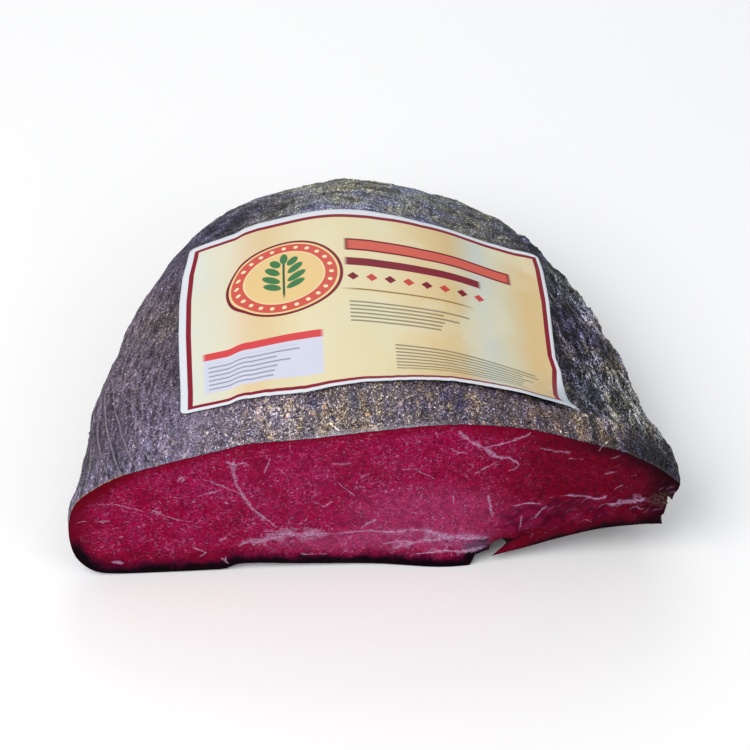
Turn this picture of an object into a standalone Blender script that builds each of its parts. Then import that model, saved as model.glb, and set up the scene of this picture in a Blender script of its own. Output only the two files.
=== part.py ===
"""Half of a smoked bresaola: a cured joint of beef cut across, lying on its flat underside, with a paper label.

Metres, +Z up. X runs along the cut face, Y runs from the cut face into the joint, and the origin lies on the
flat underside, below the middle of the joint.
"""

import math
import random

import bmesh
import bpy
import numpy as np
from mathutils import Matrix, Vector, geometry, noise

MM = 0.001

# The joint: its length behind the cut, and the line round its sides where it is widest
CUT_Y = -98 * MM
DEPTH = 199 * MM
WAIST = 32.5 * MM
WAIST_AT_END = 44 * MM
LEAN_AT_CUT = 0.06
LEAN_BEHIND = -0.048
DRIFT = 3.4 * MM

# The round section that the cut outline settles into as the joint runs back
SETTLE = 60 * MM
ROUND_HALF_WIDTH = 123 * MM
ROUND_TOP = 71.5 * MM
ROUND_BELOW = -14 * MM
TOP_FULLNESS = 1.7
UNDER_FULLNESS = 2.6
RIDGE_HEIGHT, RIDGE_X, RIDGE_WIDTH = 3.5 * MM, -23 * MM, 25 * MM
HOLLOW_DEPTH, HOLLOW_X, HOLLOW_WIDTH = 6 * MM, 75 * MM, 30 * MM
LEAST_TURN_SHARE = 0.35

# How the width and the height close towards the rounded end
WIDTH_TAPER = (1.7, 2.67)
HEIGHT_TAPER = (3.16, 2.06)
EDGE_SWELL, EDGE_SWELL_DEPTH = 0.014, 12 * MM
FLOOR_SOFTNESS = 2.5 * MM

# The cut outline in millimetres, anticlockwise from the right end; a third value marks a corner
TOP_EDGE = [
    (125.3, 40.5, 1), (118, 48), (111, 53.5), (100.5, 60), (80.5, 68), (61, 75), (32, 79), (3.5, 77.5),
    (-25, 74.5), (-44, 73.3), (-54, 72.2), (-64, 69.3), (-83, 64), (-103, 57.3), (-114, 50.5), (-121.7, 43),
]
LEFT_END = [(-125.3, 33), (-126, 21), (-123.8, 10.5), (-117.5, 3), (-108, 0.5)]
UNDERSIDE = [(-85, 0), (-63.5, 0.5, 1), (-57, 3.8), (-31.5, 2.4), (15, 0), (39, -1.5, 1)]
NOTCH = [(44.2, 3), (47.4, 6), (48.9, 11.3), (52.3, 12.3), (57.3, 11.5, 1), (54.6, 7.3)]
FLAP_UNDERSIDE = [(50.1, 3.3, 1), (65, 7.4), (77.5, 11.6), (94, 16), (110.5, 17.5)]
TORN_END = [
    (116.5, 17.5), (119.7, 17.3, 1), (118.6, 21.6, 1), (120, 23.6, 1), (120.6, 27.8, 1), (120.7, 33.8, 1),
    (122.7, 31.2, 1), (123.2, 34.7, 1), (124.7, 37.4),
]
CUT_OUTLINE = TOP_EDGE + LEFT_END + UNDERSIDE + NOTCH + FLAP_UNDERSIDE + TORN_END
NOTCH_DEPTH = 21 * MM

# Relief of the cut face: the seam above the flap, a lip that bulges forward, and its slow swell
SEAM = [(58.3, 11.3), (68.5, 20.8), (82.5, 26), (99, 28.7), (115.7, 26.3)]
SEAM_DEPTH = 2.2 * MM
SEAM_HALF_WIDTH = 3.5 * MM
LIP_FORWARD, LIP_X, LIP_WIDTH, LIP_HEIGHT = 3.5 * MM, 30 * MM, 22 * MM, 14 * MM
CUT_UNEVENNESS = 0.7 * MM
CUT_GRAIN = 38 * MM

# Relief of the crust
LUMP_SIZE, LUMP_HEIGHT = 34 * MM, 1.7 * MM
CRAG_SIZE, CRAG_HEIGHT = 13 * MM, 1.5 * MM
CRAG_FROM_X = 55 * MM
EDGE_STRIP = 14 * MM

# Mesh density of the solid
OUTLINE_STEP = 8 * MM
FINE_STEPS = 4
RINGS = 27
RINGS_CROWD_AT_CUT = 1.25
CUT_STEP = 13 * MM

# Herb and pepper crumbs pressed into the crust
CRUMBS = 130
CRUMB_RADIUS = (1.2 * MM, 2.1 * MM)
CRUMB_SINK = 0.2
CRUMB_SPACING = 7 * MM
CRUMB_CLEAR_OF_CUT = 7 * MM
CRUMB_CLEAR_OF_FLOOR = 10 * MM
CRUMB_SEED = 7

# The paper label over the top
LABEL_WIDTH, LABEL_HEIGHT = 164.5 * MM, 118 * MM
LABEL_FRONT = 26 * MM
LABEL_X, LABEL_TURN = 3 * MM, math.radians(-0.9)
LABEL_GAP, LABEL_THICKNESS = 0.6 * MM, 0.6 * MM
LABEL_CORNER = 2.5 * MM
LABEL_COLUMNS, LABEL_ROWS = 26, 16
EDGE_LIFT, EDGE_REACH = 0.6 * MM, 14 * MM
CURL_LIFT, CURL_REACH = 1.2 * MM, 26 * MM


def clear_scene():
    for obj in list(bpy.data.objects):
        bpy.data.objects.remove(obj)


def new_collection(name):
    collection = bpy.data.collections.new(name)
    bpy.context.scene.collection.children.link(collection)
    return collection


def new_material(name, colour, roughness):
    material = bpy.data.materials.new(name)
    material.use_nodes = True
    shader = material.node_tree.nodes["Principled BSDF"]
    shader.inputs["Base Color"].default_value = (*colour, 1)
    shader.inputs["Roughness"].default_value = roughness
    shader.inputs["Metallic"].default_value = 0
    return material


def object_from(bm, name, collection, materials):
    mesh = bpy.data.meshes.new(name)
    bm.to_mesh(mesh)
    bm.free()
    obj = bpy.data.objects.new(name, mesh)
    collection.objects.link(obj)
    for material in materials:
        mesh.materials.append(material)
    return obj


def smooth(t):
    """0 to 1 with a soft start and a soft end."""
    t = np.clip(t, 0, 1)
    return t * t * (3 - 2 * t)


def curve_round(points):
    """A closed curve through (x, z, corner) points, in fine steps, and the point that each step follows."""
    count = len(points)
    samples, owners = [], []
    for i in range(count):
        start, end = points[i], points[(i + 1) % count]
        before = start if len(start) > 2 else points[i - 1]
        after = end if len(end) > 2 else points[(i + 2) % count]
        p0, p1, p2, p3 = (np.array(p[:2], float) * MM for p in (before, start, end, after))
        chord = np.linalg.norm(p2 - p1)
        leaving = (p2 - p0) * chord / (chord + np.linalg.norm(p1 - p0))
        arriving = (p3 - p1) * chord / (chord + np.linalg.norm(p3 - p2))
        steps = FINE_STEPS * max(1, round(chord / OUTLINE_STEP))
        for k in range(steps):
            t = k / steps
            samples.append(
                (2 * t**3 - 3 * t**2 + 1) * p1
                + (t**3 - 2 * t**2 + t) * leaving
                + (3 * t**2 - 2 * t**3) * p2
                + (t**3 - t**2) * arriving
            )
            owners.append(i)
    return np.array(samples), np.array(owners)


def above_waist(points):
    """Section points as sideways distance and height over the leaning waist line."""
    return np.stack([points[:, 0], points[:, 1] - WAIST - LEAN_AT_CUT * points[:, 0]], axis=1)


def without_notch(outline, owners):
    """The outline with the notch under the flap bridged by a straight line."""
    plain = outline.copy()
    before_notch = len(TOP_EDGE) + len(LEFT_END) + len(UNDERSIDE) - 1
    inside = np.flatnonzero((owners >= before_notch) & (owners <= before_notch + len(NOTCH)))
    first, last = inside[0], inside[-1] + 1
    share = (inside - first) / (last - first)
    plain[inside] = outline[first] + share[:, None] * (outline[last] - outline[first])
    return plain


def angles_round(points):
    """The angles at which points lie round the middle, kept apart where a step in the outline lines them up."""
    angles = np.unwrap(np.arctan2(points[:, 1], points[:, 0]))
    least = LEAST_TURN_SHARE * math.tau / len(points)
    turns = np.maximum(np.diff(angles, append=angles[0] + math.tau), least)
    turned = np.concatenate([[0], np.cumsum(turns)[:-1]])
    return angles[0] + turned * math.tau / turns.sum()


def round_section(angles):
    """The plain rounded section, as sideways distance and height over the waist, at angles round its middle."""
    side, rise = np.abs(np.cos(angles)), np.sin(angles)
    top = ROUND_TOP - WAIST
    under = WAIST - ROUND_BELOW
    height = np.where(rise > 0, top, under)
    power = np.where(rise > 0, TOP_FULLNESS, UNDER_FULLNESS)
    reach = ((side / ROUND_HALF_WIDTH) ** power + (np.abs(rise) / height) ** power) ** (-1 / power)
    points = np.stack([reach * np.cos(angles), reach * rise], axis=1)
    ridge = RIDGE_HEIGHT * np.exp(-(((points[:, 0] - RIDGE_X) / RIDGE_WIDTH) ** 2))
    hollow = HOLLOW_DEPTH * np.exp(-(((points[:, 0] - HOLLOW_X) / HOLLOW_WIDTH) ** 2))
    points[:, 1] += (ridge - hollow) * np.clip(4 * rise, 0, 1)
    return points


class Joint:
    """The smooth form of the joint: sections from the cut outline to the rounded end."""

    def __init__(self, every):
        """Keeps one in so many of the fine steps round the outline."""
        outline, owners = curve_round(CUT_OUTLINE)
        plain = above_waist(without_notch(outline, owners))
        self.notched = above_waist(outline)[::every]
        self.plain = plain[::every]
        self.round = round_section(angles_round(plain))[::every]

    def section(self, depth):
        """The section's points at a depth behind the cut face."""
        share = depth / DEPTH
        cut = self.notched + (self.plain - self.notched) * smooth(depth / NOTCH_DEPTH)
        form = cut + (self.round - cut) * smooth(depth / SETTLE)
        width, height = (
            max(0.0, 1 - share**power) ** (1 / root) for power, root in (WIDTH_TAPER, HEIGHT_TAPER)
        )
        width *= 1 + EDGE_SWELL * smooth(depth / EDGE_SWELL_DEPTH) * (1 - smooth(depth / SETTLE))
        x = DRIFT * share + width * form[:, 0]
        lean = LEAN_AT_CUT + (LEAN_BEHIND - LEAN_AT_CUT) * smooth(depth / SETTLE)
        waist = WAIST + (WAIST_AT_END - WAIST) * share + lean * width * form[:, 0]
        z = waist + height * form[:, 1]
        return np.stack([x, np.full(len(x), CUT_Y + depth), z], axis=1)


def rest_on_floor(z):
    """Flattens what would reach below the floor, with a soft turn at its edge."""
    if z >= FLOOR_SOFTNESS:
        return z
    return 0.0 if z <= -FLOOR_SOFTNESS else (z + FLOOR_SOFTNESS) ** 2 / (4 * FLOOR_SOFTNESS)


def under_label(point):
    """1 on the skin that the label covers, falling to 0 a little outside it."""
    depth = point.y - CUT_Y
    sideways = smooth((LABEL_WIDTH * 0.5 + 6 * MM - abs(point.x - LABEL_X)) / (8 * MM))
    lengthways = smooth((depth - LABEL_FRONT + 8 * MM) / (8 * MM))
    lengthways *= smooth((LABEL_FRONT + LABEL_HEIGHT + 6 * MM - depth) / (8 * MM))
    return float(sideways * lengthways) if point.z > WAIST else 0.0


def crust_relief(point):
    """How far the crust stands out of the smooth form: slow lumps, and crags on the right side."""
    lumps = LUMP_HEIGHT * noise.fractal(point / LUMP_SIZE, 1.0, 2.0, 3)
    crags = CRAG_HEIGHT * noise.fractal(point / CRAG_SIZE, 0.9, 2.1, 2)
    crags *= float(smooth((point.x - CRAG_FROM_X) / (30 * MM)))
    near_edge = float(smooth((point.y - CUT_Y) / EDGE_STRIP))
    return (lumps + crags) * near_edge * (1 - under_label(point))


def distance_to_seam(point):
    seam = [Vector((x * MM, z * MM)) for x, z in SEAM]
    nearest = []
    for start, end in zip(seam, seam[1:], strict=False):
        foot, share = geometry.intersect_point_line(point, start, end)
        foot = start if share < 0 else end if share > 1 else foot
        nearest.append((point - foot.to_2d()).length)
    return min(nearest)


def cut_lip(x, z):
    """How far the lower edge of the cut bulges forward beside the notch."""
    return LIP_FORWARD * math.exp(-(((x - LIP_X) / LIP_WIDTH) ** 2) - (z / LIP_HEIGHT) ** 2)


def cut_relief(x, z):
    """How far the cut face stands forward of its plane, with the seam sunk into it."""
    swell = CUT_UNEVENNESS * noise.fractal(Vector((x, 0.3, z)) / CUT_GRAIN, 1.0, 2.0, 2)
    seam = SEAM_DEPTH * math.exp(-((distance_to_seam(Vector((x, z))) / SEAM_HALF_WIDTH) ** 2))
    return cut_lip(x, z) + swell - seam


def add_cut_face(bm, rim, outline):
    """Closes the cut end with triangles between its rim and a loose grid of inner points."""
    low, high = outline.min(axis=0), outline.max(axis=0)
    inner = []
    for row, z in enumerate(np.arange(low[1] + CUT_STEP / 2, high[1], CUT_STEP * 0.87)):
        for x in np.arange(low[0] + CUT_STEP * (0.5 + 0.5 * (row % 2)), high[0], CUT_STEP):
            gaps = np.linalg.norm(outline - (x, z), axis=1)
            if gaps.min() > 0.6 * CUT_STEP:
                inner.append((x, z))
    places = [Vector(p) for p in outline] + [Vector(p) for p in inner]
    loop = [list(range(len(outline)))]
    corners, _, triangles, origins, _, _ = geometry.delaunay_2d_cdt(places, [], loop, 1, 1e-7)
    verts = []
    for corner, origin in zip(corners, origins, strict=True):
        if origin and origin[0] < len(rim):
            verts.append(rim[origin[0]])
        else:
            verts.append(bm.verts.new((corner.x, CUT_Y - cut_relief(corner.x, corner.y), corner.y)))
    for triangle in triangles:
        face = bm.faces.new([verts[i] for i in triangle])
        face.material_index = 1


def make_body(materials, collection):
    """The meat with its crust, lofted from the cut outline to the rounded end and closed by the cut face."""
    joint = Joint(every=FINE_STEPS)
    bm = bmesh.new()
    rings = []
    for k in range(RINGS):
        depth = DEPTH * math.sin(0.5 * math.pi * (k / RINGS) ** RINGS_CROWD_AT_CUT)
        rings.append([bm.verts.new(p) for p in joint.section(depth)])
    end = bm.verts.new((DRIFT, CUT_Y + DEPTH, WAIST_AT_END))
    count = len(rings[0])
    for near, far in zip(rings, rings[1:], strict=False):
        for i in range(count):
            j = (i + 1) % count
            bm.faces.new((near[i], near[j], far[j], far[i]))
    for i in range(count):
        bm.faces.new((rings[-1][i], rings[-1][(i + 1) % count], end))
    bmesh.ops.recalc_face_normals(bm, faces=bm.faces)
    bm.normal_update()
    heights = {vert: crust_relief(vert.co) for vert in bm.verts}
    for vert, height in heights.items():
        vert.co += vert.normal * height
        vert.co.z = rest_on_floor(vert.co.z)
    for vert in rings[0]:
        vert.co.y -= cut_lip(vert.co.x, vert.co.z)
    rim_outline = np.array([(vert.co.x, vert.co.z) for vert in rings[0]])
    add_cut_face(bm, rings[0], rim_outline)
    bmesh.ops.triangulate(bm, faces=bm.faces)
    bmesh.ops.recalc_face_normals(bm, faces=bm.faces)
    return object_from(bm, "bresaola", collection, materials)


def add_crumb(where, outward, radius, chance, collection, material):
    """A crumb of pepper or herb: a small uneven stone, partly sunk in the crust."""
    bm = bmesh.new()
    bmesh.ops.create_icosphere(bm, subdivisions=1, radius=radius)
    stretch = Vector((chance.uniform(0.9, 1.3), chance.uniform(0.7, 1.0), chance.uniform(0.6, 0.8)))
    spin = Matrix.Rotation(chance.uniform(0, math.tau), 3, "Z")
    turn = outward.to_track_quat("Z", "Y").to_matrix() @ spin
    for vert in bm.verts:
        vert.co = where - outward * radius * CRUMB_SINK + turn @ (vert.co * stretch * chance.uniform(0.85, 1.1))
    object_from(bm, "crumb", collection, [material])


def crumb_places(mesh, chance):
    """Places spread evenly over the crust, clear of the label, the cut and the floor, with the way out of it."""
    crust = [face for face in mesh.polygons if face.material_index == 0]
    area_up_to = np.cumsum([face.area for face in crust])
    golden = (math.sqrt(5) - 1) / 2
    places = []
    k = 0
    while len(places) < CRUMBS:
        k += 1
        face = crust[int(np.searchsorted(area_up_to, (golden * k) % 1 * area_up_to[-1]))]
        weights = sorted((chance.random(), chance.random()))
        shares = (weights[0], weights[1] - weights[0], 1 - weights[1])
        where = sum((mesh.vertices[i].co * share for i, share in zip(face.vertices, shares, strict=True)), Vector())
        at_edge = where.y < CUT_Y + CRUMB_CLEAR_OF_CUT or where.z < CRUMB_CLEAR_OF_FLOOR or under_label(where) > 0
        if not at_edge and all((where - other).length > CRUMB_SPACING for other, _ in places):
            places.append((where, face.normal.copy()))
    return places


def fuse_crumbs(body, material):
    """Sets the crumbs into the crust, the largest first, and joins them to it."""
    chance = random.Random(CRUMB_SEED)
    crumbs = new_collection("crumbs")
    radii = np.linspace(*reversed(CRUMB_RADIUS), CRUMBS)
    for radius, (where, outward) in zip(radii, crumb_places(body.data, chance), strict=True):
        add_crumb(where, outward, radius, chance, crumbs, material)
    union = body.modifiers.new("crumbs", "BOOLEAN")
    union.operation = "UNION"
    union.operand_type = "COLLECTION"
    union.collection = crumbs
    union.solver = "EXACT"
    graph = bpy.context.evaluated_depsgraph_get()
    fused = bpy.data.meshes.new_from_object(body.evaluated_get(graph))
    body.modifiers.clear()
    body.data = fused
    for crumb in list(crumbs.objects):
        bpy.data.objects.remove(crumb)
    bpy.data.collections.remove(crumbs)


def label_place(joint):
    """A function that gives the point of the smooth skin under a place on the flat label."""
    depths = np.linspace(0, DEPTH * 0.95, 96)
    sections = [joint.section(depth)[joint.round[:, 1] > 0] for depth in depths]
    sections = [section[np.argsort(section[:, 0])] for section in sections]
    axis_z = np.array([np.interp(LABEL_X, section[:, 0], section[:, 2]) for section in sections])
    run = np.concatenate([[0], np.cumsum(np.hypot(np.diff(depths), np.diff(axis_z)))])
    girths = []
    for section in sections:
        length = np.concatenate([[0], np.cumsum(np.hypot(np.diff(section[:, 0]), np.diff(section[:, 2])))])
        girths.append(length - np.interp(LABEL_X, section[:, 0], length))

    def place(across, along):
        girth = across * math.cos(LABEL_TURN) - along * math.sin(LABEL_TURN)
        length = LABEL_FRONT + across * math.sin(LABEL_TURN) + along * math.cos(LABEL_TURN)
        depth = np.interp(length, run, depths)
        row = np.interp(depth, depths, np.arange(len(depths)))
        low = min(int(row), len(depths) - 2)
        ends = []
        for k in (low, low + 1):
            x = np.interp(girth, girths[k], sections[k][:, 0])
            z = np.interp(girth, girths[k], sections[k][:, 2])
            ends.append(Vector((x, CUT_Y + depths[k], z)))
        return ends[0].lerp(ends[1], row - low)

    return place


def label_lift(across, along):
    """How far the paper stands off the crust: along the right of its front edge, and at that corner."""
    rightwards = smooth((across + 10 * MM) / (70 * MM))
    edge = EDGE_LIFT * rightwards * (1 - smooth(along / EDGE_REACH))
    to_corner = math.hypot(LABEL_WIDTH / 2 - across, along)
    curl = CURL_LIFT * (1 - smooth(to_corner / CURL_REACH)) ** 2
    return float(edge + curl)


def make_label(material, collection):
    """The label as a thin sheet that follows the skin under it, thickened outwards."""
    place = label_place(Joint(every=1))
    bm = bmesh.new()
    grid = []
    for row in range(LABEL_ROWS + 1):
        along = LABEL_HEIGHT * row / LABEL_ROWS
        from_end = min(along, LABEL_HEIGHT - along)
        inset = LABEL_CORNER - math.sqrt(max(0, LABEL_CORNER**2 - max(0, LABEL_CORNER - from_end) ** 2))
        half = LABEL_WIDTH / 2 - inset
        line = []
        for column in range(LABEL_COLUMNS + 1):
            across = half * (2 * column / LABEL_COLUMNS - 1)
            line.append((across, along, bm.verts.new(place(across, along))))
        grid.append(line)
    for near, far in zip(grid, grid[1:], strict=False):
        for k in range(LABEL_COLUMNS):
            bm.faces.new((near[k][2], near[k + 1][2], far[k + 1][2], far[k][2]))
    bmesh.ops.recalc_face_normals(bm, faces=bm.faces)
    bm.normal_update()
    if sum(face.normal.z for face in bm.faces) < 0:
        bmesh.ops.reverse_faces(bm, faces=bm.faces)
    bm.normal_update()
    lifts = {vert: LABEL_GAP + label_lift(across, along) for line in grid for across, along, vert in line}
    for vert, lift in lifts.items():
        vert.co += vert.normal * lift
    label = object_from(bm, "label", collection, [material])
    thickness = label.modifiers.new("thickness", "SOLIDIFY")
    thickness.thickness = LABEL_THICKNESS
    thickness.offset = 1
    return label


def main():
    clear_scene()
    parts = new_collection("bresaola_half")
    crust = new_material("herb_crust", (0.055, 0.05, 0.055), 0.85)
    meat = new_material("cured_meat", (0.26, 0.012, 0.045), 0.42)
    paper = new_material("label_paper", (0.86, 0.76, 0.55), 0.5)
    body = make_body([crust, meat], parts)
    fuse_crumbs(body, crust)
    make_label(paper, parts)


main()
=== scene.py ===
import math

import bpy
import numpy as np
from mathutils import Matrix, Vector, geometry, kdtree, noise


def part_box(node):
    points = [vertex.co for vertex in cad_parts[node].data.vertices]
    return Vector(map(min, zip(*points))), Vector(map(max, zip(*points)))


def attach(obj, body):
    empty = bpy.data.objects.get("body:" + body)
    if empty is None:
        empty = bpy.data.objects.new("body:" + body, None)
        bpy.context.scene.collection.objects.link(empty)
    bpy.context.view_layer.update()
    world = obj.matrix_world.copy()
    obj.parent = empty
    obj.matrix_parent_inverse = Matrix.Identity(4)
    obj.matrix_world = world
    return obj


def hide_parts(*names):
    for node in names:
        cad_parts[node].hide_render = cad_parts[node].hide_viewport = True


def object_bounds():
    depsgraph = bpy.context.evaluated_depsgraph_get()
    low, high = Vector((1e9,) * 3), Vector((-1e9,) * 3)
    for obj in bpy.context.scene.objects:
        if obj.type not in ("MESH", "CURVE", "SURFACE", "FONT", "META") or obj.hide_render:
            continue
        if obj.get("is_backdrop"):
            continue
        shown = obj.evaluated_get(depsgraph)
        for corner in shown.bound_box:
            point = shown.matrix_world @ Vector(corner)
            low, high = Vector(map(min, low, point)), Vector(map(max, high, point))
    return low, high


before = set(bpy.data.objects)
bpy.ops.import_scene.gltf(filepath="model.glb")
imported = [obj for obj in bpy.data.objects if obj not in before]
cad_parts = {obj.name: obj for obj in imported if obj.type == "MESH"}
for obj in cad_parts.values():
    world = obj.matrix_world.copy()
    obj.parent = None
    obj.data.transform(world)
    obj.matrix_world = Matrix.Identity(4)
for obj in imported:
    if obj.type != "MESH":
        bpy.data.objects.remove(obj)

cad_box = [list(corner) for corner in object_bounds()]

# The crust
# The dry outside of a round of beef that was salted, rolled in herbs and pepper, hung and smoked, and pressed
# flat by its own weight. One skin, lofted from the outline of the cut back to the rounded end, with its
# lumps, creases and strands in the mesh.

MM = 0.001
CUT_Y, DEPTH = -98 * MM, 199 * MM
WAIST, WAIST_AT_END = 32.5 * MM, 44 * MM
LEAN_AT_CUT, LEAN_BEHIND = 0.06, -0.048
DRIFT = 3.4 * MM
SETTLE = 60 * MM
ROUND_HALF_WIDTH, ROUND_TOP, ROUND_BELOW = 123 * MM, 71.5 * MM, -14 * MM
TOP_FULLNESS, UNDER_FULLNESS = 1.7, 2.6
RIDGE_HEIGHT, RIDGE_X, RIDGE_WIDTH = 3.5 * MM, -23 * MM, 25 * MM
HOLLOW_DEPTH, HOLLOW_X, HOLLOW_WIDTH = 6 * MM, 75 * MM, 30 * MM
LEAST_TURN_SHARE, MOST_NARROWING = 0.35, 0.75
WIDTH_TAPER, HEIGHT_TAPER = (1.7, 2.67), (3.16, 2.06)
EDGE_SWELL, EDGE_SWELL_DEPTH = 0.014, 12 * MM
FLOOR_SOFTNESS = 2.5 * MM

# The cut outline in millimetres, anticlockwise from the right end; a third value marks a corner
TOP_EDGE = [
    (125.3, 40.5, 1), (118, 48), (111, 53.5), (100.5, 60), (80.5, 68), (61, 75), (32, 79), (3.5, 77.5),
    (-25, 74.5), (-44, 73.3), (-54, 72.2), (-64, 69.3), (-83, 64), (-103, 57.3), (-114, 50.5), (-121.7, 43),
]
LEFT_END = [(-125.3, 33), (-126, 21), (-123.8, 10.5), (-117.5, 3), (-108, 0.5)]
UNDERSIDE = [(-85, 0), (-63.5, 0.5, 1), (-57, 3.8), (-31.5, 2.4), (15, 0), (39, -1, 1)]
NOTCH = [(41.6, 5.8, 1), (47.4, 7.6, 1), (48.6, 10.9), (53, 13), (58.3, 12.1, 1), (53, 8.2)]
FLAP_UNDERSIDE = [(48.5, 3.7, 1), (63, 6.9), (77.5, 11.6), (94, 16), (110.5, 17.5)]
TORN_END = [
    (116.5, 17.5), (119.7, 17.3, 1), (118.6, 21.6, 1), (120, 23.6, 1), (120.6, 27.8, 1), (120.7, 33.8, 1),
    (122.7, 31.2, 1), (123.2, 34.7, 1), (124.7, 37.4),
]
NOTCH_DEPTH, FLAP_TIP_THICKNESS, BEHIND_TIP = 21 * MM, 2.6 * MM, (56.6 * MM, 5.2 * MM)
EDGE_RAGGEDNESS = 0.35 * MM
OUTLINE_STEP, FINE_STEPS = 8 * MM, 8
LUMP_SIZE, LUMP_HEIGHT = 34 * MM, 1.7 * MM
CRAG_SIZE, CRAG_HEIGHT, CRAG_FROM_X = 15 * MM, 1.6 * MM, 55 * MM
EDGE_STRIP = 14 * MM
LABEL_WIDTH, LABEL_HEIGHT = 164.5 * MM, 118 * MM
LABEL_FRONT, LABEL_X = 26 * MM, 3 * MM
COVER_MARGIN, COVER_FADE = 6 * MM, 8 * MM
RINGS = 200
# Steps round a ring are thinned out as it narrows, and along the underside, which doesn't show
STRIDES = [(0.62, 1), (0.34, 2), (0.18, 4), (-1, 8)]
UNDERSIDE_BELOW, UNDERSIDE_FROM, UNDERSIDE_TO, UNDERSIDE_THINNING = 6 * MM, -112 * MM, 30 * MM, 3
FINE_RELIEF, FINE_RELIEF_SIZE = 0.5 * MM, 5.5 * MM
GRIT_RELIEF, GRIT_RELIEF_SIZE = 0.35 * MM, 2.3 * MM
# Widths, lengths and places without MM are in millimetres
GRAIN_RELIEF, GRAIN_WIDTH, GRAIN_LENGTH = 0.9 * MM, 5.4, 30
SHOULDER_DROP, SHOULDER_RIGHT, SHOULDER_LEFT = 2.4 * MM, -50 * MM, -88 * MM
SHOULDER_FRONT, SHOULDER_BACK = 6 * MM, 112 * MM
VALLEY_DEPTH, VALLEY_X, VALLEY_WIDTH = 1.2 * MM, 95, 9
LIP_BULGE, LIP_X, LIP_WIDTH, LIP_HEIGHT = 3.5 * MM, 30 * MM, 22 * MM, 14 * MM
MEAN_HALF_WIDTH = 60 * MM
# Creases that the joint's net left in the rubbed hide: x and distance behind the cut, in millimetres
STRANDS = [
    [(-111, 57), (-111, 50), (-110, 38), (-109, 31), (-107, 21), (-105.5, 13), (-104, 7), (-102, 0)],
    [
        (-108, 64), (-107, 51), (-106, 42), (-104, 33), (-103, 26), (-101.5, 21), (-100, 14), (-98.5, 9),
        (-95, 0),
    ],
    [(-114, 43), (-114, 37.5), (-113.5, 33), (-112, 23), (-111, 15), (-109, 8.5), (-108, 2)],
    [(-96, 17), (-93.5, 10.5), (-91, 6), (-90, 2.5)],
    [(-117, 36), (-117, 29), (-116, 16), (-117, 10), (-118, 5)],
    [(-104, 60), (-105, 51), (-105, 44)],
    [(-88, 34), (-85, 26), (-84, 19)],
    [(-99, 92), (-103, 74), (-104, 66)],
]
# The crust's plain tone and its share, and where it differs: x, distance behind the cut and reach in
# millimetres, then the tone of red, green and blue
PLAIN_SHARE, PLAIN_TONE = 0.02, (0.85, 0.9, 0.85)
TONES = [
    (-105, 70, 45, (0.61, 0.52, 0.61)), (-119, 28, 13, (0.25, 0.2, 0.25)), (-106, 32, 16, (0.37, 0.3, 0.38)),
    (-90, 15, 26, (0.96, 0.9, 1.2)), (-50, 9, 26, (1.98, 1.8, 1.8)), (-5, 13, 28, (1.81, 1.63, 1.35)),
    (32, 13, 20, (1.0, 0.9, 0.97)), (62, 11, 20, (1.06, 0.83, 0.76)), (86, 14, 12, (0.93, 0.85, 0.82)),
    (113, 12, 16, (0.1, 0.085, 0.11)), (112, 52, 20, (1.35, 1.45, 1.25)), (90, 70, 20, (0.42, 0.36, 0.45)),
    (-58, 152, 26, (0.46, 0.44, 0.66)), (-86, 92, 12, (0.85, 0.76, 0.62)), (0, 160, 40, (1.75, 2.0, 1.7)),
    (58, 160, 24, (0.95, 1.05, 0.95)), (-4, 186, 12, (2.2, 2.4, 1.65)), (34, 176, 10, (1.3, 1.75, 1.9)),
    (-34, 166, 7, (0.25, 0.22, 0.42)),
]


def smooth(t):
    """0 to 1 with a soft start and a soft end."""
    t = np.clip(t, 0, 1)
    return t * t * (3 - 2 * t)


def near(place, at, reach):
    """1 at a place, fading to almost 0 at twice its reach."""
    return np.exp(-(((place - at) / reach) ** 2))


def fractal(points, size, roughness=1.0, octaves=3):
    """Soft noise at each point, with its largest swells of about this size."""
    return np.array([noise.fractal(Vector(p) / size, roughness, 2.0, octaves) for p in points])


def over_cut(places, size, level, roughness=0.9, octaves=3):
    """Soft noise at places on the cut; each level gives another noise."""
    return fractal(np.insert(places, 1, level, axis=1), size, roughness, octaves)


def curve_round(points):
    """A closed curve through (x, z, corner) points, in fine steps, and the point that each step follows."""
    count = len(points)
    samples, owners = [], []
    for i in range(count):
        start, end = points[i], points[(i + 1) % count]
        before = start if len(start) > 2 else points[i - 1]
        after = end if len(end) > 2 else points[(i + 2) % count]
        p0, p1, p2, p3 = (np.array(p[:2], float) * MM for p in (before, start, end, after))
        chord = np.linalg.norm(p2 - p1)
        leaving = (p2 - p0) * chord / (chord + np.linalg.norm(p1 - p0))
        arriving = (p3 - p1) * chord / (chord + np.linalg.norm(p3 - p2))
        steps = FINE_STEPS * max(1, round(chord / OUTLINE_STEP))
        for t in np.arange(steps) / steps:
            samples.append(
                (2 * t**3 - 3 * t**2 + 1) * p1
                + (t**3 - 2 * t**2 + t) * leaving
                + (3 * t**2 - 2 * t**3) * p2
                + (t**3 - t**2) * arriving
            )
            owners.append(i)
    return np.array(samples), np.array(owners)


def above_waist(points):
    """Section points as sideways distance and height over the leaning waist line."""
    return np.stack([points[:, 0], points[:, 1] - WAIST - LEAN_AT_CUT * points[:, 0]], axis=1)


def without_notch(outline, owners):
    """The outline with the notch under the flap bridged by a straight line."""
    plain = outline.copy()
    before_notch = len(TOP_EDGE) + len(LEFT_END) + len(UNDERSIDE) - 1
    inside = np.flatnonzero((owners >= before_notch) & (owners <= before_notch + len(NOTCH)))
    first, last = inside[0], inside[-1] + 1
    share = (inside - first) / (last - first)
    plain[inside] = outline[first] + share[:, None] * (outline[last] - outline[first])
    return plain


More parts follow.
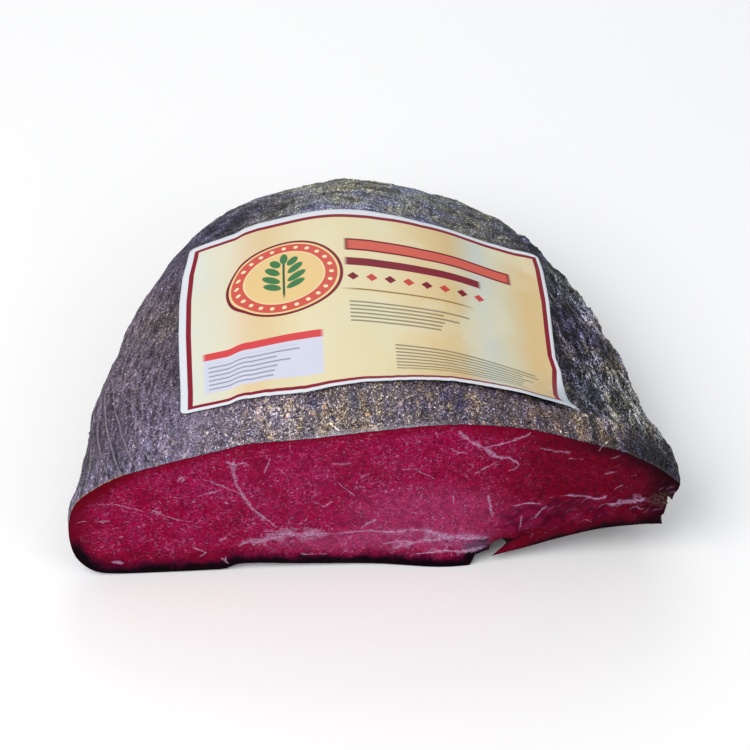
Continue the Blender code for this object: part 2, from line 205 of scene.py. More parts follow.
def without_flap_tip(outline, owners):
    """The outline with the flap's thin tip, under the notch, drawn back to the right."""
    stub = outline.copy()
    after_notch = len(TOP_EDGE) + len(LEFT_END) + len(UNDERSIDE) + 4
    tip = (owners >= after_notch) & (outline[:, 0] < BEHIND_TIP[0])
    stub[tip] = np.maximum(outline[tip], BEHIND_TIP)
    return stub


def angles_round(points):
    """The angles at which points lie round the middle, kept apart where a step lines them up."""
    every_other = points[::2]
    angles = np.unwrap(np.arctan2(every_other[:, 1], every_other[:, 0]))
    least = LEAST_TURN_SHARE * math.tau / len(angles)
    turns = np.maximum(np.diff(angles, append=angles[0] + math.tau), least)
    turned = np.concatenate([[0], np.cumsum(turns)]) * math.tau / turns.sum()
    return angles[0] + np.interp(np.arange(len(points)) / 2, np.arange(len(turned)), turned)


def round_section(angles):
    """The plain rounded section at angles round its middle, as distances sideways and over the waist."""
    side, rise = np.abs(np.cos(angles)), np.sin(angles)
    height = np.where(rise > 0, ROUND_TOP - WAIST, WAIST - ROUND_BELOW)
    power = np.where(rise > 0, TOP_FULLNESS, UNDER_FULLNESS)
    reach = ((side / ROUND_HALF_WIDTH) ** power + (np.abs(rise) / height) ** power) ** (-1 / power)
    points = np.stack([reach * np.cos(angles), reach * rise], axis=1)
    ridge = RIDGE_HEIGHT * near(points[:, 0], RIDGE_X, RIDGE_WIDTH)
    hollow = HOLLOW_DEPTH * near(points[:, 0], HOLLOW_X, HOLLOW_WIDTH)
    points[:, 1] += (ridge - hollow) * np.clip(4 * rise, 0, 1)
    return points


outline, owners = curve_round(TOP_EDGE + LEFT_END + UNDERSIDE + NOTCH + FLAP_UNDERSIDE + TORN_END)
ragged = over_cut(outline, 3 * MM, 0.9, 0.8)
outline[:, 1] += EDGE_RAGGEDNESS * ragged * (np.abs(outline[:, 0]) < 112 * MM) * (outline[:, 1] > 40 * MM)
plain_cut = above_waist(without_notch(outline, owners))
notched_cut = above_waist(outline)
stub_cut = above_waist(without_flap_tip(outline, owners))
rounded = round_section(angles_round(plain_cut))


def taper(depth, powers):
    """How much of the width or the height is left at a depth behind the cut."""
    power, root = powers
    return np.maximum(0, 1 - (depth / DEPTH) ** power) ** (1 / root)


def section(depth, kept):
    """The smooth skin's points at a depth behind the cut, for the kept steps of the outline."""
    share = depth / DEPTH
    cut = notched_cut[kept] + (stub_cut[kept] - notched_cut[kept]) * smooth(depth / FLAP_TIP_THICKNESS)
    cut = cut + (plain_cut[kept] - cut) * smooth(depth / NOTCH_DEPTH)
    form = cut + (rounded[kept] - cut) * smooth(depth / SETTLE)
    width, height = taper(depth, WIDTH_TAPER), taper(depth, HEIGHT_TAPER)
    width *= 1 + EDGE_SWELL * smooth(depth / EDGE_SWELL_DEPTH) * (1 - smooth(depth / SETTLE))
    x = DRIFT * share + width * form[:, 0]
    lean = LEAN_AT_CUT + (LEAN_BEHIND - LEAN_AT_CUT) * smooth(depth / SETTLE)
    z = WAIST + (WAIST_AT_END - WAIST) * share + lean * width * form[:, 0] + height * form[:, 1]
    return np.stack([x, np.full(len(x), CUT_Y + depth), z], axis=1)


def even_depths(count):
    """Depths at which rings lie evenly along the skin, from the cut to just before the rounded end's tip."""
    depths = DEPTH * (1 - (1 - np.linspace(0, 1, 4000)) ** 3)
    half_width = ROUND_HALF_WIDTH * taper(depths, WIDTH_TAPER)
    run = np.concatenate([[0], np.cumsum(np.hypot(np.diff(depths), np.diff(half_width)))])
    return np.interp(np.linspace(0, 1, count + 1)[:-1] * run[-1], run, depths)


def kept_steps():
    """The outline's steps that the skin follows: all that show, and one in a few along the underside."""
    x, z = outline.T
    low = (z < UNDERSIDE_BELOW) & (x > UNDERSIDE_FROM) & (x < UNDERSIDE_TO)
    kept = [i for i in range(len(outline)) if not low[i] or i % UNDERSIDE_THINNING == 0]
    return np.array(kept[: len(kept) // 8 * 8])


def skin_faces(rings):
    """Faces between rings of vertex numbers, where a ring may have half as many as the one before it."""
    faces = []
    for front, back in zip(rings, rings[1:], strict=False):
        count = len(back)
        for i in range(count):
            j = (i + 1) % count
            if len(front) == count:
                faces.append((front[i], back[i], back[j], front[j]))
            else:
                a, b, c = front[2 * i], front[2 * i + 1], front[(2 * i + 2) % len(front)]
                faces += [(a, back[i], b), (b, back[i], back[j], c)]
    return faces


def under_label(x, y, z):
    """1 on the skin that the label covers, falling to 0 a little outside it."""
    depth = y - CUT_Y
    sideways = smooth((LABEL_WIDTH / 2 + COVER_MARGIN - np.abs(x - LABEL_X)) / COVER_FADE)
    lengthways = smooth((depth - LABEL_FRONT + COVER_FADE) / COVER_FADE)
    lengthways *= smooth((LABEL_FRONT + LABEL_HEIGHT + COVER_MARGIN - depth) / COVER_FADE)
    return np.where(z > WAIST, sideways * lengthways, 0.0)


def rest_on_floor(z):
    """Flattens what would reach below the floor, with a soft turn at its edge."""
    turned = (np.clip(z, -FLOOR_SOFTNESS, FLOOR_SOFTNESS) + FLOOR_SOFTNESS) ** 2 / (4 * FLOOR_SOFTNESS)
    return np.where(z > FLOOR_SOFTNESS, z, turned)


def mesh_from(name, points, faces):
    """A smooth-shaded mesh object."""
    mesh = bpy.data.meshes.new(name)
    mesh.from_pydata([tuple(p) for p in points], [], faces)
    mesh.shade_smooth()
    made = bpy.data.objects.new(name, mesh)
    bpy.context.scene.collection.objects.link(made)
    return made


def store(mesh, **kept):
    """Keeps a number or a vector for each vertex under the names that the material reads."""
    for name, values in kept.items():
        values = np.asarray(values, np.float32)
        kind, key = ("FLOAT_VECTOR", "vector") if values.ndim == 2 else ("FLOAT", "value")
        mesh.attributes.new(name, kind, "POINT").data.foreach_set(key, values.ravel())


def nearest_on(line, places):
    """Distance of each place from a line in millimetres, its side, and how far along the line it is."""
    ends = np.array(line, float)
    lengths = np.linalg.norm(np.diff(ends, axis=0), axis=1)
    best, side, along = np.full(len(places), 1e9), np.ones(len(places)), np.zeros(len(places))
    for k, (start, end) in enumerate(zip(ends, ends[1:], strict=False)):
        way = (end - start) / lengths[k]
        from_start = places - start
        share = np.clip(from_start @ way, 0, lengths[k])
        gap = np.linalg.norm(from_start - share[:, None] * way, axis=1)
        closer = gap < best
        best[closer] = gap[closer]
        side[closer] = np.where(way[0] * from_start[:, 1] < way[1] * from_start[:, 0], -1, 1)[closer]
        along[closer] = (share[closer] + lengths[:k].sum()) / lengths.sum()
    return best, side, along


def keep_nearer(kept, gap, side, where=True):
    """Keeps a line's distance, signed by its side, wherever it is nearer than the lines before it."""
    nearer = (gap < np.abs(kept)) & where
    kept[nearer] = (gap * side)[nearer]


def shoulder_drop(x, depth):
    """How far the top lies lower to the left of the crease in the label."""
    sideways = smooth((SHOULDER_RIGHT - x) / (9 * MM)) * (1 - smooth((SHOULDER_LEFT - x) / (22 * MM)))
    lengthways = smooth((depth - SHOULDER_FRONT) / (20 * MM))
    return SHOULDER_DROP * sideways * lengthways * (1 - smooth((depth - SHOULDER_BACK) / (26 * MM)))


def outward_ways(mesh):
    """The way out of the surface at each vertex."""
    ways = np.empty(len(mesh.vertices) * 3, np.float32)
    mesh.vertices.foreach_get("normal", ways)
    return ways.reshape(-1, 3).astype(float)


def move_to(mesh, points):
    """Moves the mesh's vertices to these points."""
    mesh.vertices.foreach_set("co", points.astype(np.float32).ravel())
    mesh.update()


def cut_lip(x, z):
    """How far the lower edge of the cut bulges forward beside the notch."""
    return LIP_BULGE * near(x, LIP_X, LIP_WIDTH) * near(z, 0, LIP_HEIGHT)


steps_kept = kept_steps()
ring_depths = even_depths(RINGS)
narrowings = [taper(depth, WIDTH_TAPER) for depth in ring_depths]
strides = [next(stride for least, stride in STRIDES if share > least) for share in narrowings]
arcs = np.hypot(np.diff(ring_depths), MEAN_HALF_WIDTH * np.diff(narrowings))
arcs = ring_depths[0] + np.concatenate([[0], np.cumsum(arcs)])
points, around, rings = [], [], []
for depth, arc, stride, narrowing in zip(ring_depths, arcs, strides, narrowings, strict=True):
    line = section(depth, steps_kept[::stride])
    rings.append([len(around) + i for i in range(len(line))])
    run = np.concatenate([[0], np.cumsum(np.linalg.norm(np.diff(line, axis=0), axis=1))])
    girth = run[-1] + np.linalg.norm(line[0] - line[-1])
    top = slice(len(line) // 2, None, -1)
    run -= np.interp(LABEL_X, line[top, 0], run[top])
    run[run > girth / 2] -= girth
    points.append(line)
    around += [(r / MM / max(narrowing, MOST_NARROWING), arc / MM, 0) for r in run]
points.append(np.array([[DRIFT, CUT_Y + DEPTH, WAIST_AT_END]]))
around.append((0, arcs[-1] / MM + 2, 0))
points, around = np.concatenate(points), np.array(around)
faces, last = skin_faces(rings), rings[-1]
faces += [(a, len(points) - 1, b) for a, b in zip(last, last[1:] + last[:1], strict=True)]
crust = mesh_from("crust", points, faces)

# Places in millimetres from here on: lumps, the valley down the right, furrows, grit, and the lip of the cut
x, y, z = points.T / MM
deep = y - CUT_Y / MM
covered = under_label(*points.T)
crags = smooth((x - CRAG_FROM_X / MM) / 30)
left_side = smooth((-58 - x) / 34)
far_back = smooth((deep - 128) / 16)
valley = near(x, VALLEY_X - 0.07 * deep, VALLEY_WIDTH) * smooth((z - 20) / 20) * smooth((deep - 16) / 20)
lumps = LUMP_HEIGHT * fractal(points, LUMP_SIZE) + CRAG_HEIGHT * crags * fractal(points, CRAG_SIZE, 0.9, 2)
furrows = fractal(around / (GRAIN_WIDTH, GRAIN_LENGTH, 1), 1.0, 0.9) * (0.25 + 0.85 * crags)
relief = (lumps - VALLEY_DEPTH * valley + GRAIN_RELIEF * furrows) * smooth(deep * MM / EDGE_STRIP)
fine = FINE_RELIEF * fractal(points, FINE_RELIEF_SIZE) + GRIT_RELIEF * fractal(points, GRIT_RELIEF_SIZE)
relief += fine * (1 - 0.6 * left_side + 0.2 * crags) * (1 - 0.5 * far_back) * smooth(deep / 3)
points += outward_ways(crust.data) * (relief * (1 - covered))[:, None]
points[:, 2] -= shoulder_drop(points[:, 0], deep * MM) * (points[:, 2] > WAIST)
points[:, 2] = rest_on_floor(points[:, 2])
rim = np.array(rings[0])
points[rim, 1] = CUT_Y - cut_lip(points[rim, 0], points[rim, 2])
low, high = (np.array(corner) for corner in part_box("bresaola"))
points = np.clip(points, low, high)
move_to(crust.data, points)

# Where the herbs are rubbed off, and where crumbs lie thick
x, _, z = points.T / MM
behind_strip = smooth((deep - 18) / 16)
bare = smooth((-40 - x) / 44) * 1.1 + 0.35 * fractal(points, 22 * MM) - 0.1
bare = np.clip(bare - 0.6 * near(x, -86, 9) * near(deep, 92, 18), 0, 1)
valley = np.clip(valley * (0.85 + 0.5 * fractal(points, 14 * MM)), 0, 1)
cluster = near(x, 86, 9) * near(deep, 12, 11) + near(x, -84, 8) * near(deep, 95, 16)
streaks = fractal(around / (7, 40, 1), 1.0, 0.9, 4)
crumby = 0.42 + 0.5 * streaks + 0.35 * fractal(points, 11 * MM, 0.9) - 0.4 * bare - 0.2 * valley
crumby = np.clip(crumby + 0.6 * cluster + 0.35 * near(x, -12, 30) * (1 - behind_strip), 0, 1)

# The tone of the crust: a slow drift from place to place, warm and cool patches, light and dark ones, and
# painted shade
weight = np.full(len(points), PLAIN_SHARE)
tone = weight[:, None] * PLAIN_TONE
for tone_x, tone_depth, tone_reach, shade in TONES:
    share = near(x, tone_x, tone_reach) * near(deep, tone_depth, tone_reach)
    tone += share[:, None] * shade
    weight += share
to_left = smooth((-20 - x) / 30)
patches = fractal(around / (4.5, 8, 1) + 31, 1.0, 1.2, 2)
patches += (1.1 * fractal(points * (0.6, 1, 1), 9 * MM, 1.2, 2) - 0.9 * patches) * far_back
# Cooler down the valley, with its painted shade
patches += 0.9 * crags * fractal(around / (9, 20, 1) + 5, 1.0, 1.2, 2) - 0.8 * valley
columns = fractal(around / (3.2, 30, 1) + 57, 1.0, 0.9, 3)
columns *= (1 - smooth((deep - 24) / 16)) * (1 - 0.6 * to_left)
patches += 0.8 * columns
warmth = (1.5 - 0.5 * to_left + 0.1 * far_back) * patches + 0.35 * (crumby - 0.5)
warmth = np.clip(warmth * (1 - 0.85 * bare), -1.4, 1.7)
olive = 0.08 * warmth * (1 + 0.4 * far_back)
tone *= np.exp(np.stack([0.24 * warmth - olive, olive, -0.22 * warmth], axis=1))
rough_back = far_back * smooth((20 - np.abs(x + 50)) / 60 + 0.6)
spotty = fractal(around / (3, 7, 1) + 7, 1.0, 0.8, 3)
spotty += (1.3 * fractal(points * (0.5, 1.2, 1.2), 6 * MM, 0.8, 3) - spotty) * far_back
spotty *= 0.6 + 1.2 * crags + 1.2 * rough_back + 0.5 * near(x, 45, 30) * (1 - behind_strip) - 0.3 * left_side
calm = 1 - 0.6 * crags * (1 - smooth(deep / 24))
creased = fractal(points * (0.4, 1.4, 1.4), 5 * MM, 0.9, 3)
# Painted shade in the grain's furrows and down the valley; the grain's ridges lighter, partly rubbed and
# partly painted light
lightness = 0.35 * streaks + 0.3 * columns + (0.55 * spotty + 1.9 * furrows * (0.2 + 0.8 * crags)) * calm
lightness = lightness * (1 - 0.3 * left_side) - smooth(-2.2 * creased - 0.1) * far_back
tone *= (np.exp(np.clip(lightness - 1.4 * valley, -2.6, 1.0)) / weight)[:, None]

strand = np.full(len(points), 9.0)
for line in STRANDS:
    keep_nearer(strand, *nearest_on(line, np.stack([x, deep], axis=1))[:2], z > WAIST / MM)
# The notch's inner wall: torn meat, painted dark maroon for the shade under the flap
notch_wall = (x > 38) & (x < 62) & (z < 15) & (deep < 30)
room = np.array((1.6, 1.8, 1.3)) * MM
clear_of_ends = (points[:, 0] > low[0] + room[0]) & np.all(points < high - room, axis=1)
chance = (0.1 + 0.9 * crumby) * (1 - smooth(covered * 3)) * smooth((z - 3) / 6) * clear_of_ends
chance *= (1 - 0.2 * crags) * (1 - 0.7 * far_back) * smooth(deep / 0.8) * ~notch_wall
combed = np.clip(0.15 + 0.6 * crags * calm + 0.4 * left_side + 0.3 * valley, 0, 1) * (1 - 0.7 * far_back)
store(
    crust.data, skin_mm=around, tone=tone, bare_hide=np.maximum(bare, 0.5 * far_back), combed=combed,
    strand=strand, strand_far=np.abs(strand), notch_wall=notch_wall, crumb_chance=chance,
)


def linear(colour):
    """A colour written as sRGB hex, in Blender's linear numbers."""
    parts = [int(colour[i : i + 2], 16) / 255 for i in (1, 3, 5)]
    return (*(p / 12.92 if p <= 0.04045 else ((p + 0.055) / 1.055) ** 2.4 for p in parts), 1.0)


def add(tree, kind, inputs=None, out=0, stops=(), **settings):
    """Adds a node with its settings, its inputs set or linked, and gives one of its outputs."""
    made = tree.nodes.new(kind)
    for name, value in settings.items():
        setattr(made, name, value)
    for name, value in (inputs or {}).items():
        if isinstance(value, bpy.types.NodeSocket):
            tree.links.new(value, made.inputs[name])
        else:
            made.inputs[name].default_value = value
    for at, colour in stops[2:]:
        made.color_ramp.elements.new(at)
    for element, (at, colour) in zip(made.color_ramp.elements if stops else (), sorted(stops), strict=True):
        element.position, element.color = at, linear(colour)
    return made.outputs[out] if made.outputs else None


def ramp(value, low, high, at_low=0, at_high=1, even=False):
    """A value moved from one level to another between two limits, with soft ends or evenly."""
    way = "LINEAR" if even else "SMOOTHSTEP"
    limits = {0: value, 1: low, 2: high, 3: at_low, 4: at_high}
    return add(value.id_data, "ShaderNodeMapRange", limits, interpolation_type=way)


def times(value, *shares):
    """The product of several values."""
    for share in shares:
        value = add(value.id_data, "ShaderNodeMath", {0: value, 1: share}, operation="MULTIPLY")
    return value


def over(below, colour, *shares, blend="MIX"):
    """Lays a colour over what is below it, as thick as the product of its shares."""
    top = linear(colour) if isinstance(colour, str) else colour
    mixed = {0: times(*shares), 6: below, 7: top}
    return add(below.id_data, "ShaderNodeMix", mixed, out=2, data_type="RGBA", blend_type=blend)


def grains(flat, cell, half_length, half_width, turn, spread, rarity):
    """Short grains, one in each cell of a flat place in millimetres unless its chance is too low, each turned
    at random by up to half the spread: where they lie, and a random number of each."""
    tree = flat.id_data
    sown = {"Vector": flat, "Scale": 1 / cell}
    cells = add(tree, "ShaderNodeTexVoronoi", sown, out=2, voronoi_dimensions="2D")
    chance = add(tree, "ShaderNodeSeparateColor", {0: cells.node.outputs[1]}).node.outputs
    off = add(tree, "ShaderNodeVectorMath", {0: flat, 1: cells}, operation="SUBTRACT")
    angle = add(tree, "ShaderNodeMath", {0: chance[0], 1: 0.5}, operation="SUBTRACT")
    angle = add(tree, "ShaderNodeMath", {0: angle, 1: spread, 2: turn}, operation="MULTIPLY_ADD")
    off = add(tree, "ShaderNodeVectorRotate", {0: off, "Angle": angle}, rotation_type="Z_AXIS")
    off = add(tree, "ShaderNodeVectorMath", {0: off, 1: (half_length, half_width, 1)}, operation="DIVIDE")
    off = add(tree, "ShaderNodeVectorMath", {0: off}, out=1, operation="LENGTH")
    shows = add(tree, "ShaderNodeMath", {0: chance[2], 1: rarity}, operation="GREATER_THAN")
    return times(ramp(off, 0.45, 1, 1, 0), shows), chance[1]


def place_mm(tree):
    """The place on the piece in millimetres."""
    place = add(tree, "ShaderNodeTexCoord", out=3)
    return add(tree, "ShaderNodeVectorMath", {0: place, "Scale": 1 / MM}, operation="SCALE")


def swayed(flat, place, scale, detail, sway):
    """A flat place that sways with a noise, so that the grains on it don't lie in straight rows."""
    tree = flat.id_data
    sway_by = add(tree, "ShaderNodeTexNoise", {"Vector": place, "Scale": scale, "Detail": detail}, out=1)
    sway_by = add(tree, "ShaderNodeVectorMath", {0: sway_by, "Scale": sway}, operation="SCALE")
    flat = add(tree, "ShaderNodeVectorMath", {0: flat, 1: sway_by}, operation="ADD")
    return add(tree, "ShaderNodeVectorMath", {0: flat, 1: (1, 1, 0)}, operation="MULTIPLY")


def start_material(name):
    """A material with an empty tree of nodes."""
    made = bpy.data.materials.new(name)
    made.use_nodes = True
    made.node_tree.nodes.clear()
    return made


def end_in_shader(material, shading):
    """Ends a material's tree in its shader."""
    shader = add(material.node_tree, "ShaderNodeBsdfPrincipled", shading)
    add(material.node_tree, "ShaderNodeOutputMaterial", {0: shader})


ALONG_JOINT = math.pi / 2

# Herb crust on smoked beef: dull purple-grey, gritty with short pale and dark bits and almost black between
# them, with flat flakes of leaf and pepper; finely grained and creased down the left side, where the herbs
# have rubbed off
herb_crust = start_material("herb_crust_on_smoked_beef")
tree = herb_crust.node_tree
place = place_mm(tree)
skin, tone = (add(tree, "ShaderNodeAttribute", out=1, attribute_name=name) for name in ("skin_mm", "tone"))
bare_hide, combed, strand, strand_far, notch_wall = (
    add(tree, "ShaderNodeAttribute", out=2, attribute_name=name)
    for name in ("bare_hide", "combed", "strand", "strand_far", "notch_wall")
)
fuzz = add(tree, "ShaderNodeTexNoise", {"Vector": place, "Scale": 1, "Detail": 4, "Roughness": 0.75})
skin = swayed(skin, place, 0.6, 2, 1.6)
rubbed = ramp(bare_hide, 0, 1, 1, 0.8, even=True)
ground = ramp(fuzz, 0.32, 0.68, 0.04, 0.34, even=True)
hide = ramp(fuzz, 0.34, 0.66, 0.2, 0.62, even=True)
value = add(tree, "ShaderNodeMix", {0: bare_hide, 2: ground, 3: hide})
spread = ramp(combed, 0, 1, 3.1, 1, even=True)
for cell, half_length, half_width, dull, bright, rarity in [
    (0.8, 0.62, 0.25, 0.16, 0.55, 0), (1.05, 0.85, 0.26, 0.26, 0.78, 0.2), (1.7, 1.05, 0.3, 0.6, 1, 0.6),
]:
    lies, chance = grains(skin, cell, half_length, half_width, ALONG_JOINT, spread, rarity)
    brightness = ramp(chance, 0, 1, dull, bright, even=True)
    value = add(tree, "ShaderNodeMix", {0: times(lies, rubbed), 2: value, 3: brightness})
value = add(tree, "ShaderNodeMix", {0: ramp(combed, 0.4, 0.9, 0, 0.9), 2: value, 3: ramp(value, 0.16, 0.6)})
colour = add(tree, "ShaderNodeValToRGB", {0: value}, stops=[
    (0, "#0e0c12"), (0.2, "#332e38"), (0.4, "#5c5662"), (0.6, "#867e89"), (0.8, "#b3acb3"), (1, "#e8e2e3"),
])
lies, chance = grains(skin, 4.2, 1.9, 1, ALONG_JOINT, 1.4, 0.68)
flake = add(tree, "ShaderNodeValToRGB", {0: chance}, stops=[
    (0, "#2e2b3a"), (0.2, "#5b656c"), (0.42, "#907969"), (0.6, "#9b917d"), (0.8, "#211e26"),
])
flake.node.color_ramp.interpolation = "CONSTANT"
flake = over(flake, ramp(fuzz, 0.3, 0.7, 0.7, 1.4), 1, blend="MULTIPLY")
colour = over(colour, flake, lies, rubbed, 0.7)

# Furrows combed along the joint with painted shade low and painted light high, pale strokes in them, and the
# drift of tone
combed_place = add(tree, "ShaderNodeVectorMath", {0: skin, 1: (1, 0.2, 1)}, operation="MULTIPLY")
furrows = add(tree, "ShaderNodeTexNoise", {
    "Vector": combed_place, "Scale": 0.45, "Detail": 5, "Roughness": 0.7,
})
furrow_depth = ramp(combed, 0.15, 0.85, 0.25, 1, even=True)
# Painted shade in the furrows' bottoms and painted light on their tops, from the same noise as their bump
colour = over(colour, ramp(furrows, 0.36, 0.64, 0.05, 2.4), furrow_depth, blend="MULTIPLY")
lies, _ = grains(skin, 2.3, 2.9, 0.36, ALONG_JOINT, 0.8, 0.5)
colour = over(colour, "#b9b7bd", lies, ramp(combed, 0.3, 0.9, 0, 0.9), ramp(furrows, 0.46, 0.56, 0.1))
colour = over(colour, tone, 1, blend="MULTIPLY")
colour.node.clamp_result = True

# Creases with a bed of painted shade round a pale thread, the middle's pale rim, the left rim's tallow, the
# notch's wall in shade
crease = add(tree, "ShaderNodeMath", {0: strand}, operation="ABSOLUTE")
crease = ramp(crease, 0.1, 0.5, 0.85, 0, even=True)
crease = times(crease, ramp(strand_far, 0.9, 1.5, 1, 0, even=True), ramp(fuzz, 0.4, 0.58, 0.4))
from_cut = add(tree, "ShaderNodeSeparateXYZ", {0: skin}, out=1)
sideways = add(tree, "ShaderNodeSeparateXYZ", {0: place})
from_left = add(tree, "ShaderNodeMath", {0: sideways, 1: 4}, operation="ADD")
from_left = add(tree, "ShaderNodeMath", {0: from_left}, operation="ABSOLUTE")
rim_width = add(tree, "ShaderNodeMath", {0: from_cut, 1: ramp(fuzz, 0.3, 0.7, -1.6, 1.6)}, operation="ADD")
pale_middle = ramp(from_left, 20, 36, 1, 0.08, even=True)
tallow_side = ramp(sideways, -104, -98, 1, 0, even=True)
for tint, *shares in [
    # The creases' bed: painted shade beside the raised pale thread
    ("#2a2430", ramp(strand_far, 0.4, 1.8, 0.5, 0, even=True)),
    ("#ada3b5", crease),
    ("#b4aebb", ramp(rim_width, 1.6, 3.6, 0.95, 0), pale_middle, ramp(value, 0.1, 0.7, 0.3)),
    ("#b98450", ramp(from_cut, 0.7, 1.9, 1, 0), tallow_side, ramp(furrows, 0.4, 0.56, 0.1, 0.85)),
    # Painted shade: the notch's wall in dark maroon
    ("#2c0413", notch_wall),
]:
    colour = over(colour, tint, *shares)
normal = add(tree, "ShaderNodeBump", {
    "Strength": ramp(bare_hide, 0, 1, 0.85, 0.45, even=True), "Distance": 0.45 * MM, "Height": value,
})
for depth, height in ((1.6 * MM, times(furrows, furrow_depth)), (0.5 * MM, crease)):
    normal = add(tree, "ShaderNodeBump", {
        "Strength": 0.8, "Distance": depth, "Height": height, "Normal": normal,
    })
end_in_shader(herb_crust, {
    "Base Color": colour, "Normal": normal, "Roughness": 0.75, "IOR": 1.45, "Specular IOR Level": 0.3,
})
crust.data.materials.append(herb_crust)
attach(crust, "root")
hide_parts("bresaola")

# The crumbs
# Cracked pepper, dried herbs and salt grains that were rolled onto the wet meat and dried there: loose bits
# sunk partly in the crust, thick in some streaks and thin down the rubbed left side. Scattered over the skin.

CRUMB_SIZES = ["Per square metre", "Apart", "Least size", "Greatest size", "Length", "Thickness"]
CRUMB_COUNTS = ["Sides", "Rings", "Seed"]

crumb_tree = bpy.data.node_groups.new("crumbs_on_crust", "GeometryNodeTree")
for name, kind in {
    "Crust": "Geometry", **dict.fromkeys(CRUMB_SIZES, "Float"), **dict.fromkeys(CRUMB_COUNTS, "Int"),
    "Material": "Material",
}.items():
    crumb_tree.interface.new_socket(name, in_out="INPUT", socket_type="NodeSocket" + kind)
crumb_tree.interface.new_socket("Crumbs", in_out="OUTPUT", socket_type="NodeSocketGeometry")
given = add(crumb_tree, "NodeGroupInput").node.outputs
likely = add(crumb_tree, "GeometryNodeInputNamedAttribute", {"Name": "crumb_chance"}, data_type="FLOAT")
spread = add(crumb_tree, "GeometryNodeDistributePointsOnFaces", {
    "Mesh": given["Crust"], "Distance Min": given["Apart"], "Density Max": given["Per square metre"],
    "Density Factor": likely, "Seed": given["Seed"],
}, distribute_method="POISSON").node
seeds = [given["Seed"]]
for _ in range(4):
    seeds.append(add(crumb_tree, "ShaderNodeMath", {0: seeds[-1], 1: 1}, operation="ADD"))
rarely_large = add(crumb_tree, "FunctionNodeRandomValue", {"Seed": seeds[0]}, out=1, data_type="FLOAT")
rarely_large = add(crumb_tree, "ShaderNodeMath", {0: rarely_large, 1: 2.4}, operation="POWER")
size = add(crumb_tree, "ShaderNodeMapRange", {
    0: rarely_large, 3: given["Least size"], 4: given["Greatest size"],
})
limits = {2: 0.75, 3: 1.35, "Seed": seeds[1]}
long = add(crumb_tree, "FunctionNodeRandomValue", limits, out=1, data_type="FLOAT")
long = add(crumb_tree, "ShaderNodeMath", {0: long, 1: given["Length"]}, operation="MULTIPLY")
shape = add(crumb_tree, "ShaderNodeCombineXYZ", {0: long, 1: 1, 2: given["Thickness"]})
shape = add(crumb_tree, "ShaderNodeVectorMath", {0: shape, "Scale": size}, operation="SCALE")
spin, jag = (
    add(crumb_tree, "FunctionNodeRandomValue", {
        0: tuple(-most for most in limits), 1: limits, "Seed": seed,
    }, data_type="FLOAT_VECTOR")
    for limits, seed in (((0.5, 0.3, 1), seeds[2]), ((0.3, 0.3, 0.3), seeds[4]))
)
turn = add(crumb_tree, "FunctionNodeAlignRotationToVector", {
    "Rotation": spread.outputs["Rotation"], "Vector": (0, 1, 0),
}, axis="X", pivot_axis="Z")
spin = add(crumb_tree, "FunctionNodeEulerToRotation", {0: spin})
turn = add(crumb_tree, "FunctionNodeRotateRotation", {0: turn, 1: spin}, rotation_space="LOCAL")
grain = add(crumb_tree, "GeometryNodeMeshUVSphere", {
    "Segments": given["Sides"], "Rings": given["Rings"], "Radius": 1,
})
placed = add(crumb_tree, "GeometryNodeInstanceOnPoints", {
    "Points": spread.outputs["Points"], "Instance": grain, "Rotation": turn, "Scale": shape,
})
tint = add(crumb_tree, "FunctionNodeRandomValue", {"Seed": seeds[3]}, out=1, data_type="FLOAT")
for name, value in (("tint", tint), ("grain_size", size)):
    placed = add(crumb_tree, "GeometryNodeStoreNamedAttribute", {
        "Geometry": placed, "Name": name, "Value": value,
    }, data_type="FLOAT", domain="INSTANCE")
real = add(crumb_tree, "GeometryNodeRealizeInstances", {0: placed})
grain_size = add(crumb_tree, "GeometryNodeInputNamedAttribute", {"Name": "grain_size"}, data_type="FLOAT")
jag = add(crumb_tree, "ShaderNodeVectorMath", {0: jag, "Scale": grain_size}, operation="SCALE")
real = add(crumb_tree, "GeometryNodeSetPosition", {"Geometry": real, "Offset": jag})
real = add(crumb_tree, "GeometryNodeSetMaterial", {"Geometry": real, "Material": given["Material"]})
add(crumb_tree, "NodeGroupOutput", {0: real})

# Dried herb and cracked pepper: matt, lilac-grey and straw to olive, rust, salt-white and black, each grain
# its own colour, greyer or warmer with the crust it lies on
dry_spice = start_material("dried_herb_and_pepper")
tree = dry_spice.node_tree
tint = add(tree, "ShaderNodeAttribute", out=2, attribute_name="tint")
tone = add(tree, "ShaderNodeAttribute", out=1, attribute_name="tone")
colour = add(tree, "ShaderNodeValToRGB", {0: tint}, stops=[
    (0, "#221f25"), (0.14, "#514e54"), (0.36, "#7e7b81"), (0.58, "#a19ea3"), (0.7, "#a19b95"),
    (0.78, "#817d76"), (0.83, "#85756e"), (0.87, "#bfb9b2"), (0.93, "#cac8cc"), (0.98, "#d8d4cb"),
])
colour.node.color_ramp.interpolation = "CONSTANT"
fleck = add(tree, "ShaderNodeTexNoise", {"Vector": place_mm(tree), "Scale": 1.5, "Detail": 3})
# The crust's tone carries its painted shade in the valley and the furrows onto the grains
colour = over(colour, tone, 0.85, blend="MULTIPLY")
colour = over(colour, ramp(fleck, 0.3, 0.7, 0.65, 1.25, even=True), 1, blend="MULTIPLY")
end_in_shader(dry_spice, {"Base Color": colour, "Roughness": 0.8, "Specular IOR Level": 0.25})

